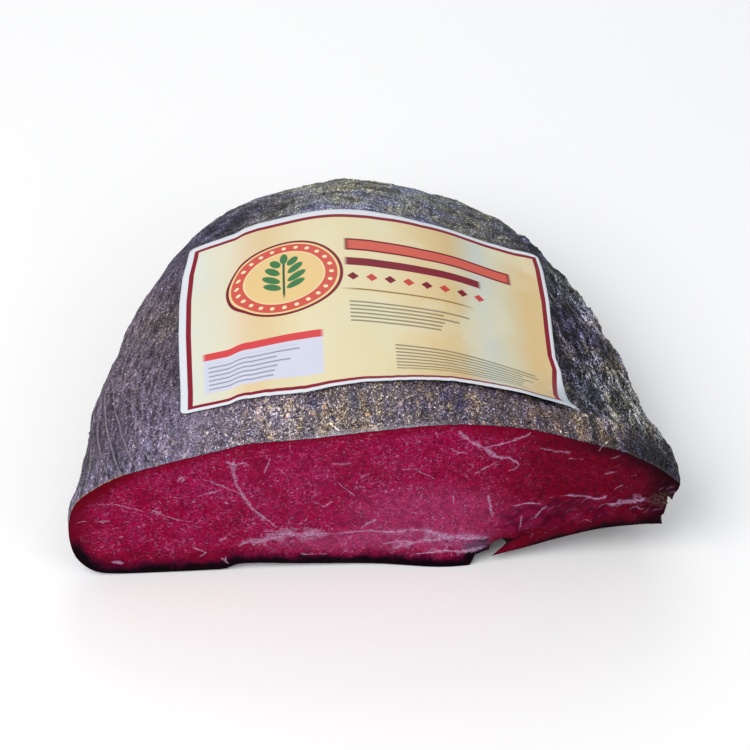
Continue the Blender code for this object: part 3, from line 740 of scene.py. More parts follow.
for name, *sizes in [
    ("fine_grains", 1.6e6, 0.4 * MM, 0.15 * MM, 0.3 * MM, 2.5, 0.8, 4, 2, 11),
    ("pepper_crumbs", 170e3, 1 * MM, 0.3 * MM, 0.7 * MM, 1.3, 0.7, 6, 3, 23),
    ("herb_flakes", 40e3, 1.8 * MM, 0.25 * MM, 0.45 * MM, 3.8, 0.5, 5, 3, 37),
]:
    made = bpy.data.objects.new(name, crust.data)
    bpy.context.scene.collection.objects.link(made)
    strewn = made.modifiers.new("strewn", "NODES")
    strewn.node_group = crumb_tree
    chosen = dict(zip(CRUMB_SIZES + CRUMB_COUNTS, sizes, strict=True), Material=dry_spice)
    for socket in crumb_tree.interface.items_tree:
        if socket.name in chosen:
            strewn[socket.identifier] = chosen[socket.name]
    graph = bpy.context.evaluated_depsgraph_get()
    plain = bpy.data.meshes.new_from_object(made.evaluated_get(graph))
    made.modifiers.clear()
    made.data = plain
    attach(made, "root")

# The cut face
# Cured beef, sliced straight across the muscle: dense, moist and deep crimson, darker where it dried under
# the crust, with veins of lilac fat. A fine sheet that meets the crust all round its rim, with the torn
# flap's seam sunk in.

CUT_CELL = 0.62 * MM
SEAM = [(58.3, 11.3), (68.5, 20.8), (82.5, 26), (99, 28.7), (115.7, 26.3)]
SEAM_DEPTH, SEAM_HALF_WIDTH = 1.7 * MM, 3.0 * MM
BUNDLES, BUNDLE_SIZE, BUNDLE_RELIEF = [(60, 22), (70, 26), (90, 29)], 6.5 * MM, 0.9 * MM
BUNDLE_SLANT = [(0.55, -0.62), (0.3, 0.95)]
FLAP_TOP = [(48, 4), (52, 9), (56.5, 12.5), (61, 16), (67, 17.5), (72, 16.5), (76, 14.5), (80, 11), (84, 8)]
CUT_UNEVENNESS, CUT_GRAIN = 0.7 * MM, 38 * MM
VEIN_RIDGE = 0.15 * MM
# Half width in millimetres, then the vein's points
FAT_VEINS = [
    (0.5, (-57, 63), (-57.3, 59), (-57, 54.4), (-56, 49), (-54, 44.3), (-50, 36), (-46, 31.4), (-41, 25)),
    (0.35, (-57, 61.5), (-52, 62.7)), (0.3, (-57, 62), (-60, 63.5)),
    (0.4, (-70, 54.5), (-66, 52.5), (-62, 50), (-58, 47.4), (-54.5, 44.8)),
    (1.9, (-50, 15.7), (-42, 19), (-37, 20.4), (-30, 19.6), (-22, 20.1)),
    (0.7, (-56, 15), (-52, 17), (-48, 17.6), (-44, 17.5)),
    (0.35, (-24, 20), (-12, 20.1), (-5, 20.5), (3, 19.8), (8, 19.4)),
    (0.55, (-6, 22.5), (-3, 25.2), (0, 27)), (0.25, (-42, 64.5), (-44, 59.4), (-45, 56)),
    (0.2, (-34, 71.4), (-34, 67)), (0.35, (-80, 53.6), (-78.5, 56), (-77, 56), (-78, 53)),
    (
        0.18, (-117, 41.2), (-111, 42.6), (-106, 42.2), (-100, 40), (-94, 37), (-87, 35), (-82, 31.6),
        (-74, 30),
    ),
    (0.22, (-122, 32), (-116, 32.5), (-111, 32.2)), (0.5, (-112.5, 32.2), (-108.5, 32.5)),
    (0.3, (-76, 15), (-73, 12.8), (-70.5, 11.4), (-73, 9)), (0.28, (-25, 38.6), (-21, 36), (-18, 38.2)),
    (0.22, (-16, 50), (-12, 45), (-8, 40.7)), (0.35, (-17.5, 59.9), (-10, 59.4)),
    (0.45, (-5.5, 52), (-2.5, 53.4)),
    (0.25, (-71, 45), (-63.5, 47.4)), (0.5, (-90.5, 37.3), (-87.5, 36)), (0.4, (-109.5, 8), (-105.5, 7.2)),
    (0.5, (-64.5, 18.3), (-61.5, 19.8)),
    (0.75, (34, 74.2), (37, 70.5), (40, 67.7), (44, 65), (48, 61), (51, 59.6)),
    (0.35, (50, 59.8), (54, 59.6), (57, 57), (58, 55.4), (56.5, 53), (54, 52.1)),
    (0.4, (44, 65.8), (49, 67.3), (54, 69.3), (58, 70.4), (62, 72.8)),
    (0.3, (51, 59.2), (47, 56), (43, 53.3)),
    (0.22, (24, 75.3), (25, 72)), (0.45, (66, 64.1), (70, 63), (74, 61.5), (78.5, 61.2)),
    (0.3, (78, 57.8), (84.5, 56.7)), (0.35, (93.5, 48.1), (98.5, 49)),
    (0.28, (72, 35.8), (78, 36.5), (85, 35.8), (90, 33.7), (94, 34.1), (98, 38.7), (101.5, 41.4)),
    (1.3, (96, 29.6), (101, 30.6), (107, 31.6), (111, 33)), (0.4, (92, 27.5), (95, 30), (98, 30.6)),
    (0.4, (57, 31.5), (62, 33.1), (68, 32.6)), (0.5, (46, 38.4), (47, 33.6), (48.2, 26.6)),
    (0.22, (32, 39.4), (32.2, 33)),
    (0.7, (-2, 21.2), (3, 19.7), (8, 19.4), (13, 20.3), (19, 20), (24, 18.5), (29, 16.6)),
    (0.95, (22, 18.6), (29, 16.4), (36, 15.2), (46, 14.4)),
    (0.9, (7, 9.8), (13, 12.4), (18, 13.9), (24, 14.8), (32, 15)), (0.4, (3, 12.5), (9, 14.2), (16, 14)),
    (0.7, (17, 7.4), (28, 8.9), (36, 8.4), (42, 8.2), (46, 9.4)),
    (0.18, (11, 55.5), (16, 55.2), (20, 52.1), (24, 49)), (0.22, (30, 66), (33, 63), (36, 63.4)),
    (0.16, (81.8, 67.2), (84.3, 70.3)), (0.16, (89.7, 60.3), (91.4, 63.5), (93.3, 64.5)),
    (0.14, (108.8, 55.6), (111.4, 57.1)), (0.16, (75.4, 71.3), (80.4, 71.6)),
    (0.2, (95.8, 56.5), (98.9, 58.1)),
    (0.2, (104, 45.8), (106.8, 46.8)), (0.3, (60.5, 26), (60.3, 21), (60, 17)), (0.3, (66, 24.5), (70.5, 31)),
    (0.35, (-31, 8.4), (-26, 8), (-20, 8.6)), (0.5, (-14, 8.2), (-11.5, 10)), (0.3, (-64, 7.6), (-61.6, 4.4)),
    (0.3, (-62.5, 8.5), (-62.8, 5)), (0.25, (104, 27), (112, 26)), (0.2, (86, 22), (90, 20.5)),
]


def inner_places(outline):
    """Places for the sheet's inner points, in staggered rows inside the outline and a little off it."""
    rim_tree = kdtree.KDTree(len(outline))
    for i, p in enumerate(outline):
        rim_tree.insert((p[0], p[1], 0), i)
    rim_tree.balance()
    low, high = outline.min(axis=0), outline.max(axis=0)
    found, gaps = [], []
    for row, z in enumerate(np.arange(low[1], high[1], CUT_CELL * 0.87)):
        for x in np.arange(low[0] + CUT_CELL * 0.5 * (row % 2), high[0], CUT_CELL):
            gap = rim_tree.find((x, z, 0))[2]
            if gap > 0.6 * CUT_CELL:
                found.append((x, z))
                gaps.append(gap)
    return found, gaps


rim_outline = points[rim][:, (0, 2)]
inner, inner_gaps = inner_places(rim_outline)
flat = [Vector(p) for p in (*rim_outline, *inner)]
corners, _, triangles, origins, _, _ = geometry.delaunay_2d_cdt(flat, [], [list(range(len(rim)))], 1, 1e-7)
corners = np.array([tuple(c) for c in corners])
cut_x, cut_z = corners.T
at_mm = corners / MM
swell = CUT_UNEVENNESS * over_cut(corners, CUT_GRAIN, 0.3, 1.0, 2)
ragged = over_cut(corners, 5 * MM, 0.7)
seam = SEAM_DEPTH * (0.6 + 1.1 * ragged) * near(nearest_on(SEAM, at_mm)[0] * MM, 0, SEAM_HALF_WIDTH)
bundled = smooth(1.7 - nearest_on(BUNDLES, at_mm)[0] / 7 + 0.5 * ragged)
slanted = corners @ BUNDLE_SLANT + 0.1 * ragged[:, None] * BUNDLE_SIZE
strands_apart = np.array([noise.voronoi(Vector((a, 0.2, b)) / BUNDLE_SIZE)[0][:2] for a, b in slanted])
meander = 0.45 * np.stack([over_cut(corners, 3.2 * MM, level) for level in (0.1, 0.2)], axis=1)
vein = np.full(len(corners), 99.0)
for half_width, *line in FAT_VEINS:
    gap, side, along = nearest_on(line, at_mm + meander)
    fullness = 0.4 + 0.6 * np.sqrt(np.clip(4 * along * (1 - along), 0, 1))
    wide = half_width * (0.95 if half_width < 0.6 else 1.1) * fullness
    wide *= np.clip(1 + 1.5 * ragged, 0.1 if half_width < 0.3 else 0.5, 1.9)
    keep_nearer(vein, gap / wide, side)
rim_gap = np.zeros(len(corners))
on_rim = np.array([bool(o) and o[0] < len(rim) for o in origins])
off_rim = [o for o, r in zip(origins, on_rim, strict=True) if not r]
rim_gap[~on_rim] = [inner_gaps[o[0] - len(rim)] if o else 0 for o in off_rim]
forward = swell * smooth(rim_gap / (4 * MM)) - seam * smooth(rim_gap / (2 * MM))
ridges = VEIN_RIDGE * near(vein, 0, 1) + BUNDLE_RELIEF * bundled * (0.35 - strands_apart[:, 0])
forward += cut_lip(cut_x, cut_z) + ridges * smooth(rim_gap / (2 * MM))
cut_points = np.stack([cut_x, CUT_Y - forward, cut_z], axis=1)
cut_points[on_rim] = [points[rim[o[0]]] for o, r in zip(origins, on_rim, strict=True) if r]
cut_face = mesh_from("cut_face", cut_points, [tuple(t) for t in triangles])
if cut_face.data.polygons[len(triangles) // 2].normal.y > 0:
    cut_face.data.flip_normals()
flap_top = np.interp(at_mm[:, 0], *zip(*FLAP_TOP, strict=True)) + 1.5 * ragged
store(
    cut_face.data, vein=np.clip(vein, -12, 12), vein_far=np.clip(np.abs(vein), 0, 12), rim_mm=rim_gap / MM,
    flap_gap=at_mm[:, 1] - flap_top, bundled=bundled, bundle_edge=strands_apart[:, 1] - strands_apart[:, 0],
)

# Cured beef: a deep red that drying has darkened at the rim and the torn end, darker along the underside with
# its dark crust edge and painted shadow, with a haze of pale fibre ends, flecks of fat, and cool lilac veins
cured_beef = start_material("cured_beef")
tree = cured_beef.node_tree
place = place_mm(tree)
sideways, _, height = add(tree, "ShaderNodeSeparateXYZ", {0: place}).node.outputs
vein, vein_far, rim_mm, bundled, bundle_edge, flap_gap = (
    add(tree, "ShaderNodeAttribute", out=2, attribute_name=name)
    for name in ("vein", "vein_far", "rim_mm", "bundled", "bundle_edge", "flap_gap")
)


def spot(x, z, wide, high):
    """1 in the middle of a soft oval on the cut, 0 outside it."""
    off = add(tree, "ShaderNodeVectorMath", {0: place, 1: (x, 0, z)}, operation="SUBTRACT")
    off = add(tree, "ShaderNodeVectorMath", {0: off, 1: (1 / wide, 0, 1 / high)}, operation="MULTIPLY")
    off = add(tree, "ShaderNodeVectorMath", {0: off}, out=1, operation="LENGTH")
    return ramp(off, 0.35, 1.15, 1, 0)


def threads(scale, detail, narrow):
    """Thin wandering threads: where a noise crosses its middle."""
    wandering = {"Vector": place, "Scale": scale, "Detail": detail, "Distortion": 0.8}
    off = add(tree, "ShaderNodeTexNoise", wandering)
    off = add(tree, "ShaderNodeMath", {0: off, 1: 0.5}, operation="SUBTRACT")
    off = add(tree, "ShaderNodeMath", {0: off}, operation="ABSOLUTE")
    return ramp(off, narrow * 0.3, narrow, 1, 0)


# The lean: crimson, duller to the right, with a pale haze below its middle. Its noises are given by their
# swells per millimetre, detail and roughness
muscle, patchy, waver, blotches, broken, grain = (
    add(tree, "ShaderNodeTexNoise", {
        "Vector": place, "Scale": scale, "Detail": detail, "Roughness": roughness,
    })
    for scale, detail, roughness in (
        (0.05, 5, 0.5), (0.1, 5, 0.7), (0.13, 6, 0.6), (0.36, 4, 0.7), (0.55, 3, 0.5), (1.15, 4, 0.75),
    )
)
lean = add(tree, "ShaderNodeValToRGB", {0: muscle}, stops=[
    (0.3, "#78002c"), (0.5, "#840032"), (0.7, "#86053c"),
])
low_meat = times(ramp(height, 5, 19, 0.85, 0), ramp(sideways, -58, -42, 1, 0))
for tint, *shares in [
    ("#8c204a", spot(-18, 44, 60, 30), 0.2),
    ("#62001a", ramp(sideways, 26, 78)),
    ("#3e0214", ramp(sideways, 84, 120, 0, 0.6)),
    ("#983660", spot(22, 28, 40, 20), 0.5),
    ("#9a3e68", spot(0, 15.5, 56, 8), 0.5),
    ("#84507a", spot(38, 13.5, 18, 5), 0.3),
    ("#6e0022", low_meat),
]:
    lean = over(lean, tint, *shares)
lean = over(lean, ramp(blotches, 0.32, 0.68, 0.7, 1.32), 1, blend="MULTIPLY")

# Fibre ends: a fine mottle of short curved bits, more level at the left, few and faint at the right
flat = swayed(add(tree, "ShaderNodeCombineXYZ", {0: sideways, 1: height}), place, 0.9, 3, 1.1)
quiet_right = ramp(sideways, 30, 75, 1, 0.14)
patchy = ramp(patchy, 0.38, 0.6, 0.25, 1.15)
quiet_low = add(tree, "ShaderNodeMath", {0: 1, 1: low_meat}, operation="SUBTRACT")
strength = times(quiet_right, patchy, quiet_low)
lean = over(lean, ramp(grain, 0.36, 0.64, 0.78, 1.22), quiet_right, patchy, blend="MULTIPLY")
lean = over(lean, "#b04a7a", ramp(grain, 0.54, 0.7, 0, 0.2), strength)
any_way = ramp(sideways, -85, -30, 1.1, 3.1)
for cell, half_length, half_width, rarity, share, tint in [
    (1.2, 0.65, 0.2, 0.45, 0.4, "#a63c6e"), (1.9, 0.95, 0.2, 0.55, 0.5, "#b45c88"),
    (1.6, 0.4, 0.3, 0.5, 0.45, "#4c001c"), (6, 1, 0.36, 0.55, 0.7, "#bd8cb0"),
    (4.1, 0.42, 0.3, 0.75, 0.7, "#c88fb1"),
]:
    lies, chance = grains(flat, cell, half_length, half_width, 0, any_way, rarity)
    faint = ramp(chance, 0, 1, 0.3 * share, share, even=True)
    lean = over(lean, tint, lies, faint, strength, ramp(grain, 0.38, 0.5, 0.35))
lean = over(lean, "#a94272", threads(0.8, 2, 0.04), ramp(grain, 0.42, 0.56, 0.05, 0.65), strength)
lean = over(lean, "#b9749c", threads(0.37, 2.5, 0.026), ramp(broken, 0.5, 0.6, 0, 0.75), strength)

# Torn bundles below the seam, slanting lumps with hazy lilac membranes and painted shade between them. Then
# what
# drying did: a deep red band under the crust and round the left end and a dark tip; and painted shadow: a
# thin line round the rim, and a purple-black foot that is partly the underside's dark crust edge
tilted = add(tree, "ShaderNodeVectorRotate", {0: flat, "Angle": -0.6}, rotation_type="Z_AXIS")
tilted = add(tree, "ShaderNodeVectorMath", {0: tilted, 1: (0.3, 1, 0)}, operation="MULTIPLY")
sinew = add(tree, "ShaderNodeTexNoise", {"Vector": tilted, "Scale": 0.5, "Detail": 4, "Roughness": 0.65})
in_flap = ramp(flap_gap, -1, 1, 1, 0)
waver = ramp(waver, 0.3, 0.7, -1.5, 1.5)
rim_off = add(tree, "ShaderNodeMath", {0: rim_mm, 1: waver}, operation="ADD")
# Painted shadow under the curve of the underside, over the dark crust edge there: the purple-black foot
foot_shadow_off = add(tree, "ShaderNodeMath", {0: rim_off, 1: ramp(sideways, -20, 36, -1.1, -1.5)}, operation="ADD")
low_edge_with_shadow = times(ramp(height, 14, 24, 1, 0), ramp(sideways, 44, 48, 1, 0))
for tint, *shares in [
    ("#760f3a", bundled, ramp(sideways, 62, 78, 0.8, 0.3)),
    # Painted shade in the gaps between the raised bundles
    ("#46031c", bundled, ramp(bundle_edge, 0, 0.3, 0.75, 0)),
    ("#a4628e", bundled, ramp(sinew, 0.56, 0.7, 0, 0.35)),
    ("#5c0417", in_flap, 0.92),
    ("#a8788c", in_flap, ramp(grain, 0.6, 0.68, 0, 0.6)),
    ("#740020", ramp(rim_mm, 0.3, 6, 0.7, 0)),
    ("#62001a", ramp(rim_off, 1, 15, 0.85, 0), ramp(sideways, -112, -96, 1, 0)),
    ("#600010", ramp(rim_mm, 1, 7, 0.9, 0), ramp(sideways, -108, -80, 1, 0), ramp(height, 34, 44), 0.85),
    ("#220210", ramp(rim_off, 0.5, 9, 0.9, 0), ramp(sideways, 45, 105)),
    # The purple-black foot: the underside's dark crust edge and painted shadow along the cut face's bottom
    ("#4a0222", ramp(rim_off, 2.5, 9.5, 0.85, 0), low_edge_with_shadow),
    ("#2a0420", ramp(foot_shadow_off, 2, 5.5, 0.7, 0), low_edge_with_shadow),
    ("#0c0208", ramp(foot_shadow_off, 1, 3.8, 1, 0), low_edge_with_shadow),
    ("#14030a", ramp(rim_off, 0.5, 3.4, 1, 0), ramp(sideways, 58, 70, 0.2, 0.95), ramp(height, 18, 30, 1, 0)),
    # A thin line of painted shadow where the crust meets the meat all round the rim
    ("#22020e", ramp(rim_mm, 0, 1, 0.6, 0)),
    ("#6a4863", spot(42, 10.5, 8, 3.5), 0.6),
    ("#1c0d1c", spot(46.5, 8.8, 3.5, 2.2), 0.8),
    ("#1c0209", ramp(sideways, 106, 121, 0, 0.95), ramp(height, 24, 42, 0.35)),
    ("#5c4a42", spot(117.5, 31.5, 6, 5.5), ramp(grain, 0.46, 0.6, 0, 0.85)),
    ("#865674", spot(116, 33, 12, 11), ramp(sinew, 0.54, 0.66, 0, 0.6)),
]:
    lean = over(lean, tint, *shares)

# Fat: feathered across its width and beaded along it, lilac to greyish white
level = add(tree, "ShaderNodeVectorMath", {0: place, 1: (0.3, 1, 1)}, operation="MULTIPLY")
wobble = add(tree, "ShaderNodeTexNoise", {"Vector": level, "Scale": 0.95, "Detail": 4, "Roughness": 0.65})
off_vein = add(tree, "ShaderNodeMath", {0: vein}, operation="ABSOLUTE")
off_vein = add(tree, "ShaderNodeMath", {0: off_vein, 1: ramp(wobble, 0.34, 0.66, -1.1, 1.1)}, operation="ADD")
faint_right = times(ramp(sideways, 58, 72, 0, 0.5), ramp(height, 42, 50))
faint_right = add(tree, "ShaderNodeMath", {0: 1, 1: faint_right}, operation="SUBTRACT")
fat = times(ramp(off_vein, 0.2, 1.8, 0.92, 0), ramp(vein_far, 1.7, 3.2, 1, 0), ramp(grain, 0.34, 0.48, 0.75))
fat_colour = add(tree, "ShaderNodeValToRGB", {0: grain}, stops=[(0.38, "#9a668f"), (0.6, "#cba8c8")])
colour = over(lean, fat_colour, fat, ramp(wobble, 0.4, 0.54, 0.25), faint_right)
fibre_bump = add(tree, "ShaderNodeBump", {"Strength": 0.3, "Distance": 0.25 * MM, "Height": grain})
end_in_shader(cured_beef, {
    "Base Color": colour, "Normal": fibre_bump, "Roughness": 0.5, "IOR": 1.4, "Specular IOR Level": 0.03,
})
cut_face.data.materials.append(cured_beef)
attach(cut_face, "root")
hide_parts("bresaola")

# The label
# A sheet of coated paper, printed and glued over the top before the joint was cut. It follows the skin, with
# a soft crease down its left and a lifted edge and corner at the front right. A fine grid thickened to a
# paper's thickness.

LABEL_TURN, LABEL_CORNER = math.radians(-0.9), 2.5 * MM
LABEL_LIFT, PAPER = 0.78 * MM, 0.22 * MM
EDGE_LIFT, EDGE_LIFT_FROM, EDGE_LIFT_LENGTH, EDGE_LIFT_WIDTH = 0.9 * MM, -60 * MM, 50 * MM, 14 * MM
CORNER_LIFT, CORNER_LIFT_REACH = 1.2 * MM, 26 * MM
LABEL_CELL = 0.95 * MM
# How far the sheet's edges wander: place along the edge, then shift to the back or right, in millimetres
FRONT_WAVE = [
    (-82, 0), (-58, 0), (-52, -2.2), (-30, -2.2), (-20, -0.3), (-6, 1.6), (12, 2.4), (30, 2.2), (44, 0.6),
    (62, -0.4), (72, -2.8), (78, -5), (82, -8),
]
BACK_WAVE = [
    (-82, -4.2), (-68, -3.6), (-60, -2.4), (-56, 0.5), (-50, 2), (-40, 2.2), (-20, 1.8), (0, 2.8), (12, 1.6),
    (24, -0.4), (40, 0.2), (50, 0), (62, -1.1), (72, -2.7), (82, -3.5),
]
LEFT_WAVE = [(0, 0), (12, -0.3), (30, -1.5), (50, -2.6), (75, -3.2), (95, -2.6), (106, -1), (118, 0)]
RIGHT_WAVE = [
    (0, 0.2), (7, -1.6), (14, -1.2), (36, 0.3), (44, -1.2), (60, -0.8), (80, 0), (105, -0.6), (118, -1.8),
]


def label_place(kept):
    """A function that gives the point of the smooth skin under a place on the flat label."""
    depths = np.linspace(0, DEPTH * 0.95, 96)
    upper = kept[rounded[kept, 1] > 0]
    sections = [section(depth, upper) for depth in depths]
    sections = [line[np.argsort(line[:, 0])] for line in sections]
    axis_z = np.array([np.interp(LABEL_X, line[:, 0], line[:, 2]) for line in sections])
    run = np.concatenate([[0], np.cumsum(np.hypot(np.diff(depths), np.diff(axis_z)))])
    girths = []
    for line in sections:
        length = np.concatenate([[0], np.cumsum(np.hypot(np.diff(line[:, 0]), np.diff(line[:, 2])))])
        girths.append(length - np.interp(LABEL_X, line[:, 0], length))

    def shift(wave, along_edge, nearness):
        return np.interp(along_edge / MM, *zip(*wave, strict=True)) * nearness**3 * MM

    def place(across, along):
        from_front, from_left = along / LABEL_HEIGHT, 0.5 + across / LABEL_WIDTH
        backwards = shift(BACK_WAVE, across, from_front) + shift(FRONT_WAVE, across, 1 - from_front)
        rightwards = shift(RIGHT_WAVE, along, from_left) + shift(LEFT_WAVE, along, 1 - from_left)
        across, along = across + rightwards, along + backwards
        girth = across * math.cos(LABEL_TURN) - along * math.sin(LABEL_TURN)
        length = LABEL_FRONT + across * math.sin(LABEL_TURN) + along * math.cos(LABEL_TURN)
        depth = np.interp(length, run, depths)
        row = np.interp(depth, depths, np.arange(len(depths)))
        lower = min(int(row), len(depths) - 2)
        ends = []
        for k in (lower, lower + 1):
            x, z = (np.interp(girth, girths[k], sections[k][:, axis]) for axis in (0, 2))
            ends.append(np.array((x, CUT_Y + depths[k], z)))
        found = ends[0] + (ends[1] - ends[0]) * (row - lower)
        return found - (0, 0, shoulder_drop(found[0], found[1] - CUT_Y))

    return place


def label_lift(across, along):
    """How far the paper stands off the crust: along the right of its front edge, and at that corner."""
    edge = smooth((across - EDGE_LIFT_FROM) / EDGE_LIFT_LENGTH) * (1 - smooth(along / EDGE_LIFT_WIDTH))
    corner = 1 - smooth(math.hypot(LABEL_WIDTH / 2 - across, along) / CORNER_LIFT_REACH)
    return LABEL_LIFT + EDGE_LIFT * edge + CORNER_LIFT * corner**2


columns, rows = round(LABEL_WIDTH / LABEL_CELL), round(LABEL_HEIGHT / LABEL_CELL)
skin_place = label_place(np.arange(0, len(outline), 2))
paper_flat = []
for row in range(rows + 1):
    along = LABEL_HEIGHT * row / rows
    from_end = min(along, LABEL_HEIGHT - along)
    inset = LABEL_CORNER - math.sqrt(max(0, LABEL_CORNER**2 - max(0, LABEL_CORNER - from_end) ** 2))
    half = LABEL_WIDTH / 2 - inset
    paper_flat += [(half * (2 * column / columns - 1), along) for column in range(columns + 1)]
paper_points = np.array([skin_place(*place) for place in paper_flat])
starts = [r * (columns + 1) + c for r in range(rows) for c in range(columns)]
paper_faces = [(i, i + 1, i + columns + 2, i + columns + 1) for i in starts]
label = mesh_from("label_paper", paper_points, paper_faces)
if label.data.polygons[len(paper_faces) // 2].normal.z < 0:
    label.data.flip_normals()
lifts = np.array([label_lift(*place) for place in paper_flat])
move_to(label.data, paper_points + outward_ways(label.data) * lifts[:, None])
print_map = label.data.uv_layers.new(name="print")
flat = np.array(paper_flat) / (LABEL_WIDTH, LABEL_HEIGHT) + (0.5, 0)
corner_of = np.empty(len(label.data.loops), np.int32)
label.data.loops.foreach_get("vertex_index", corner_of)
print_map.data.foreach_set("uv", flat[corner_of].astype(np.float32).ravel())
thickness = label.modifiers.new("paper", "SOLIDIFY")
thickness.thickness, thickness.offset = PAPER, 1

# Coated paper, offset printed: a cream field in soft bands of gold and grey-green inside a maroon line, with
# a white margin and the low gloss of a varnish
printed_paper = start_material("printed_coated_paper")
tree = printed_paper.node_tree
half = (LABEL_WIDTH / 2 / MM, LABEL_HEIGHT / 2 / MM)
uv = add(tree, "ShaderNodeUVMap", uv_map="print")
sheet_mm = add(tree, "ShaderNodeVectorMath", {0: uv, 1: (0.5, 0.5, 0)}, operation="SUBTRACT")
whole = (2 * half[0], 2 * half[1], 0)
sheet_mm = add(tree, "ShaderNodeVectorMath", {0: sheet_mm, 1: whole}, operation="MULTIPLY")


def from_middle(middle, half_size, turn=0, at=sheet_mm):
    """The place on the sheet seen from the middle of a mark, turned with it and in units of its half size."""
    off = add(tree, "ShaderNodeVectorMath", {0: at, 1: (*middle, 0)}, operation="SUBTRACT")
    off = add(tree, "ShaderNodeVectorRotate", {0: off, "Angle": -math.radians(turn)}, rotation_type="Z_AXIS")
    return add(tree, "ShaderNodeVectorMath", {0: off, 1: (*half_size, 1)}, operation="DIVIDE")


def box_mask(middle, half_size, turn=0, at=sheet_mm):
    """1 inside a rectangle on the sheet, in millimetres."""
    off = from_middle(middle, half_size, turn, at)
    off = add(tree, "ShaderNodeVectorMath", {0: off}, operation="ABSOLUTE")
    x, y, _ = add(tree, "ShaderNodeSeparateXYZ", {0: off}).node.outputs
    most = add(tree, "ShaderNodeMath", {0: x, 1: y}, operation="MAXIMUM")
    return ramp(most, 1 - 0.1 / min(half_size), 1 + 0.1 / min(half_size), 1, 0)


def oval_mask(middle, half_size, turn=0):
    """1 inside an oval on the sheet, in millimetres."""
    off = from_middle(middle, half_size, turn)
    off = add(tree, "ShaderNodeVectorMath", {0: off}, out=1, operation="LENGTH")
    return ramp(off, 1 - 0.15 / min(half_size), 1 + 0.15 / min(half_size), 1, 0)


def rules_mask(middle, half_size, apart, thick, raggedness):
    """1 on thin level rules inside a rectangle, their right ends ragged."""
    x, y, _ = add(tree, "ShaderNodeSeparateXYZ", {0: from_middle(middle, (1, 1))}).node.outputs
    row = add(tree, "ShaderNodeMath", {0: y, 1: apart}, operation="DIVIDE")
    in_row = add(tree, "ShaderNodeMath", {0: row}, operation="FRACT")
    row = add(tree, "ShaderNodeMath", {0: row}, operation="FLOOR")
    chance = add(tree, "ShaderNodeTexWhiteNoise", {"W": row}, noise_dimensions="1D")
    limit = ramp(chance, 0, 1, half_size[0] - raggedness, half_size[0], even=True)
    short = add(tree, "ShaderNodeMath", {0: x, 1: limit}, operation="LESS_THAN")
    on_rule = ramp(in_row, thick / apart - 0.06, thick / apart + 0.06, 1, 0)
    return times(on_rule, short, box_mask(middle, half_size))


across = add(tree, "ShaderNodeSeparateXYZ", {0: uv})
field = add(tree, "ShaderNodeValToRGB", {0: across}, stops=[
    (0.04, "#dde1d4"), (0.12, "#e2dcc4"), (0.17, "#e4ceaa"), (0.22, "#e3cb9b"), (0.32, "#e5dab4"),
    (0.52, "#e6d9af"), (0.66, "#e0c795"), (0.72, "#dabf8a"), (0.8, "#cdd3ca"), (0.86, "#d9d3b5"),
    (0.93, "#dcc08c"),
])
cloud = add(tree, "ShaderNodeTexNoise", {"Vector": sheet_mm, "Scale": 0.03, "Detail": 3})
field = over(field, "#e2dfc2", ramp(cloud, 0.45, 0.65, 0, 0.5))

# The print slackens with the paper towards the lifted corner, so that the margin widens there
x, y, _ = add(tree, "ShaderNodeSeparateXYZ", {0: sheet_mm}).node.outputs
slack_front = times(ramp(x, 0, 78, 0, -2), ramp(y, -55, -30, 1, 0))
slack_right = times(ramp(y, -58, -15, 3.2, 0), ramp(x, 50, 75))
slack_back = times(ramp(x, -5, 25, 0, -1.5), ramp(y, 30, 50))
slack = add(tree, "ShaderNodeMath", {0: slack_front, 1: slack_back}, operation="ADD")
slack = add(tree, "ShaderNodeCombineXYZ", {0: slack_right, 1: slack})
slack = add(tree, "ShaderNodeVectorMath", {0: sheet_mm, 1: slack}, operation="ADD")
colour = add(tree, "ShaderNodeRGB")
colour.node.outputs[0].default_value = linear("#dfe3ea")
colour = over(colour, "#b3c2c8", ramp(slack_right, 0.6, 2.4, 0, 0.7))
left, right, front, back = -half[0] + 3.1, half[0] - 1.6, -half[1] + 1.7, half[1] - 4.2
borders = [(left, right, front, back), (left + 2.2, right - 2.1, front + 1.8, back - 2.4)]
for (left, right, front, back), ink in zip(borders, ("#860d27", field), strict=True):
    middle, reach = ((left + right) / 2, (front + back) / 2), ((right - left) / 2, (back - front) / 2)
    colour = over(colour, ink, box_mask(middle, reach, at=slack))

# The print: a round badge with a leaf sprig, bars and diamonds beside it, and blocks of plain thin rules
BADGE_X, BADGE_Y = -37, 13
badge = [("#7d1226", 25), ("#ead49a", 23.6), ("#d2574a", 22.6), ("#f0dcae", 17.5), ("#e9c98c", 16.9)]
marks = [(ink, oval_mask((BADGE_X, BADGE_Y), (radius, radius))) for ink, radius in badge]
for turn in np.radians(np.arange(24) * 15):
    dot = (BADGE_X + 20.1 * math.cos(turn), BADGE_Y + 20.1 * math.sin(turn))
    marks.append(("#f3e3b8", oval_mask(dot, (1, 1))))
marks.append(("#2c5a38", box_mask((BADGE_X, BADGE_Y - 1), (0.5, 12))))
for rise, reach, tilt in [(-8, 7.0, 32), (-3, 7.6, 38), (2.5, 6.8, 46), (7.5, 5.2, 56)]:
    for hand in (1, -1):
        leaf = (BADGE_X + hand * reach * 0.72, BADGE_Y + rise + 2.5)
        marks.append(("#3f7a4a", oval_mask(leaf, (reach * 0.62, 1.9), hand * tilt)))
marks += [
    ("#3f7a4a", oval_mask((BADGE_X, BADGE_Y + 12.5), (1.7, 3.6))),
    ("#7d1226", box_mask((27, 32), (38, 4.2))), ("#d4604f", box_mask((27, 32), (36.8, 3))),
    ("#801428", box_mask((19, 20), (30, 2.6))),
]
for step in range(8):
    marks.append(("#c8453f" if step % 2 else "#7d1226", box_mask((8 * step - 8, 10), (1.8, 1.8), 45)))
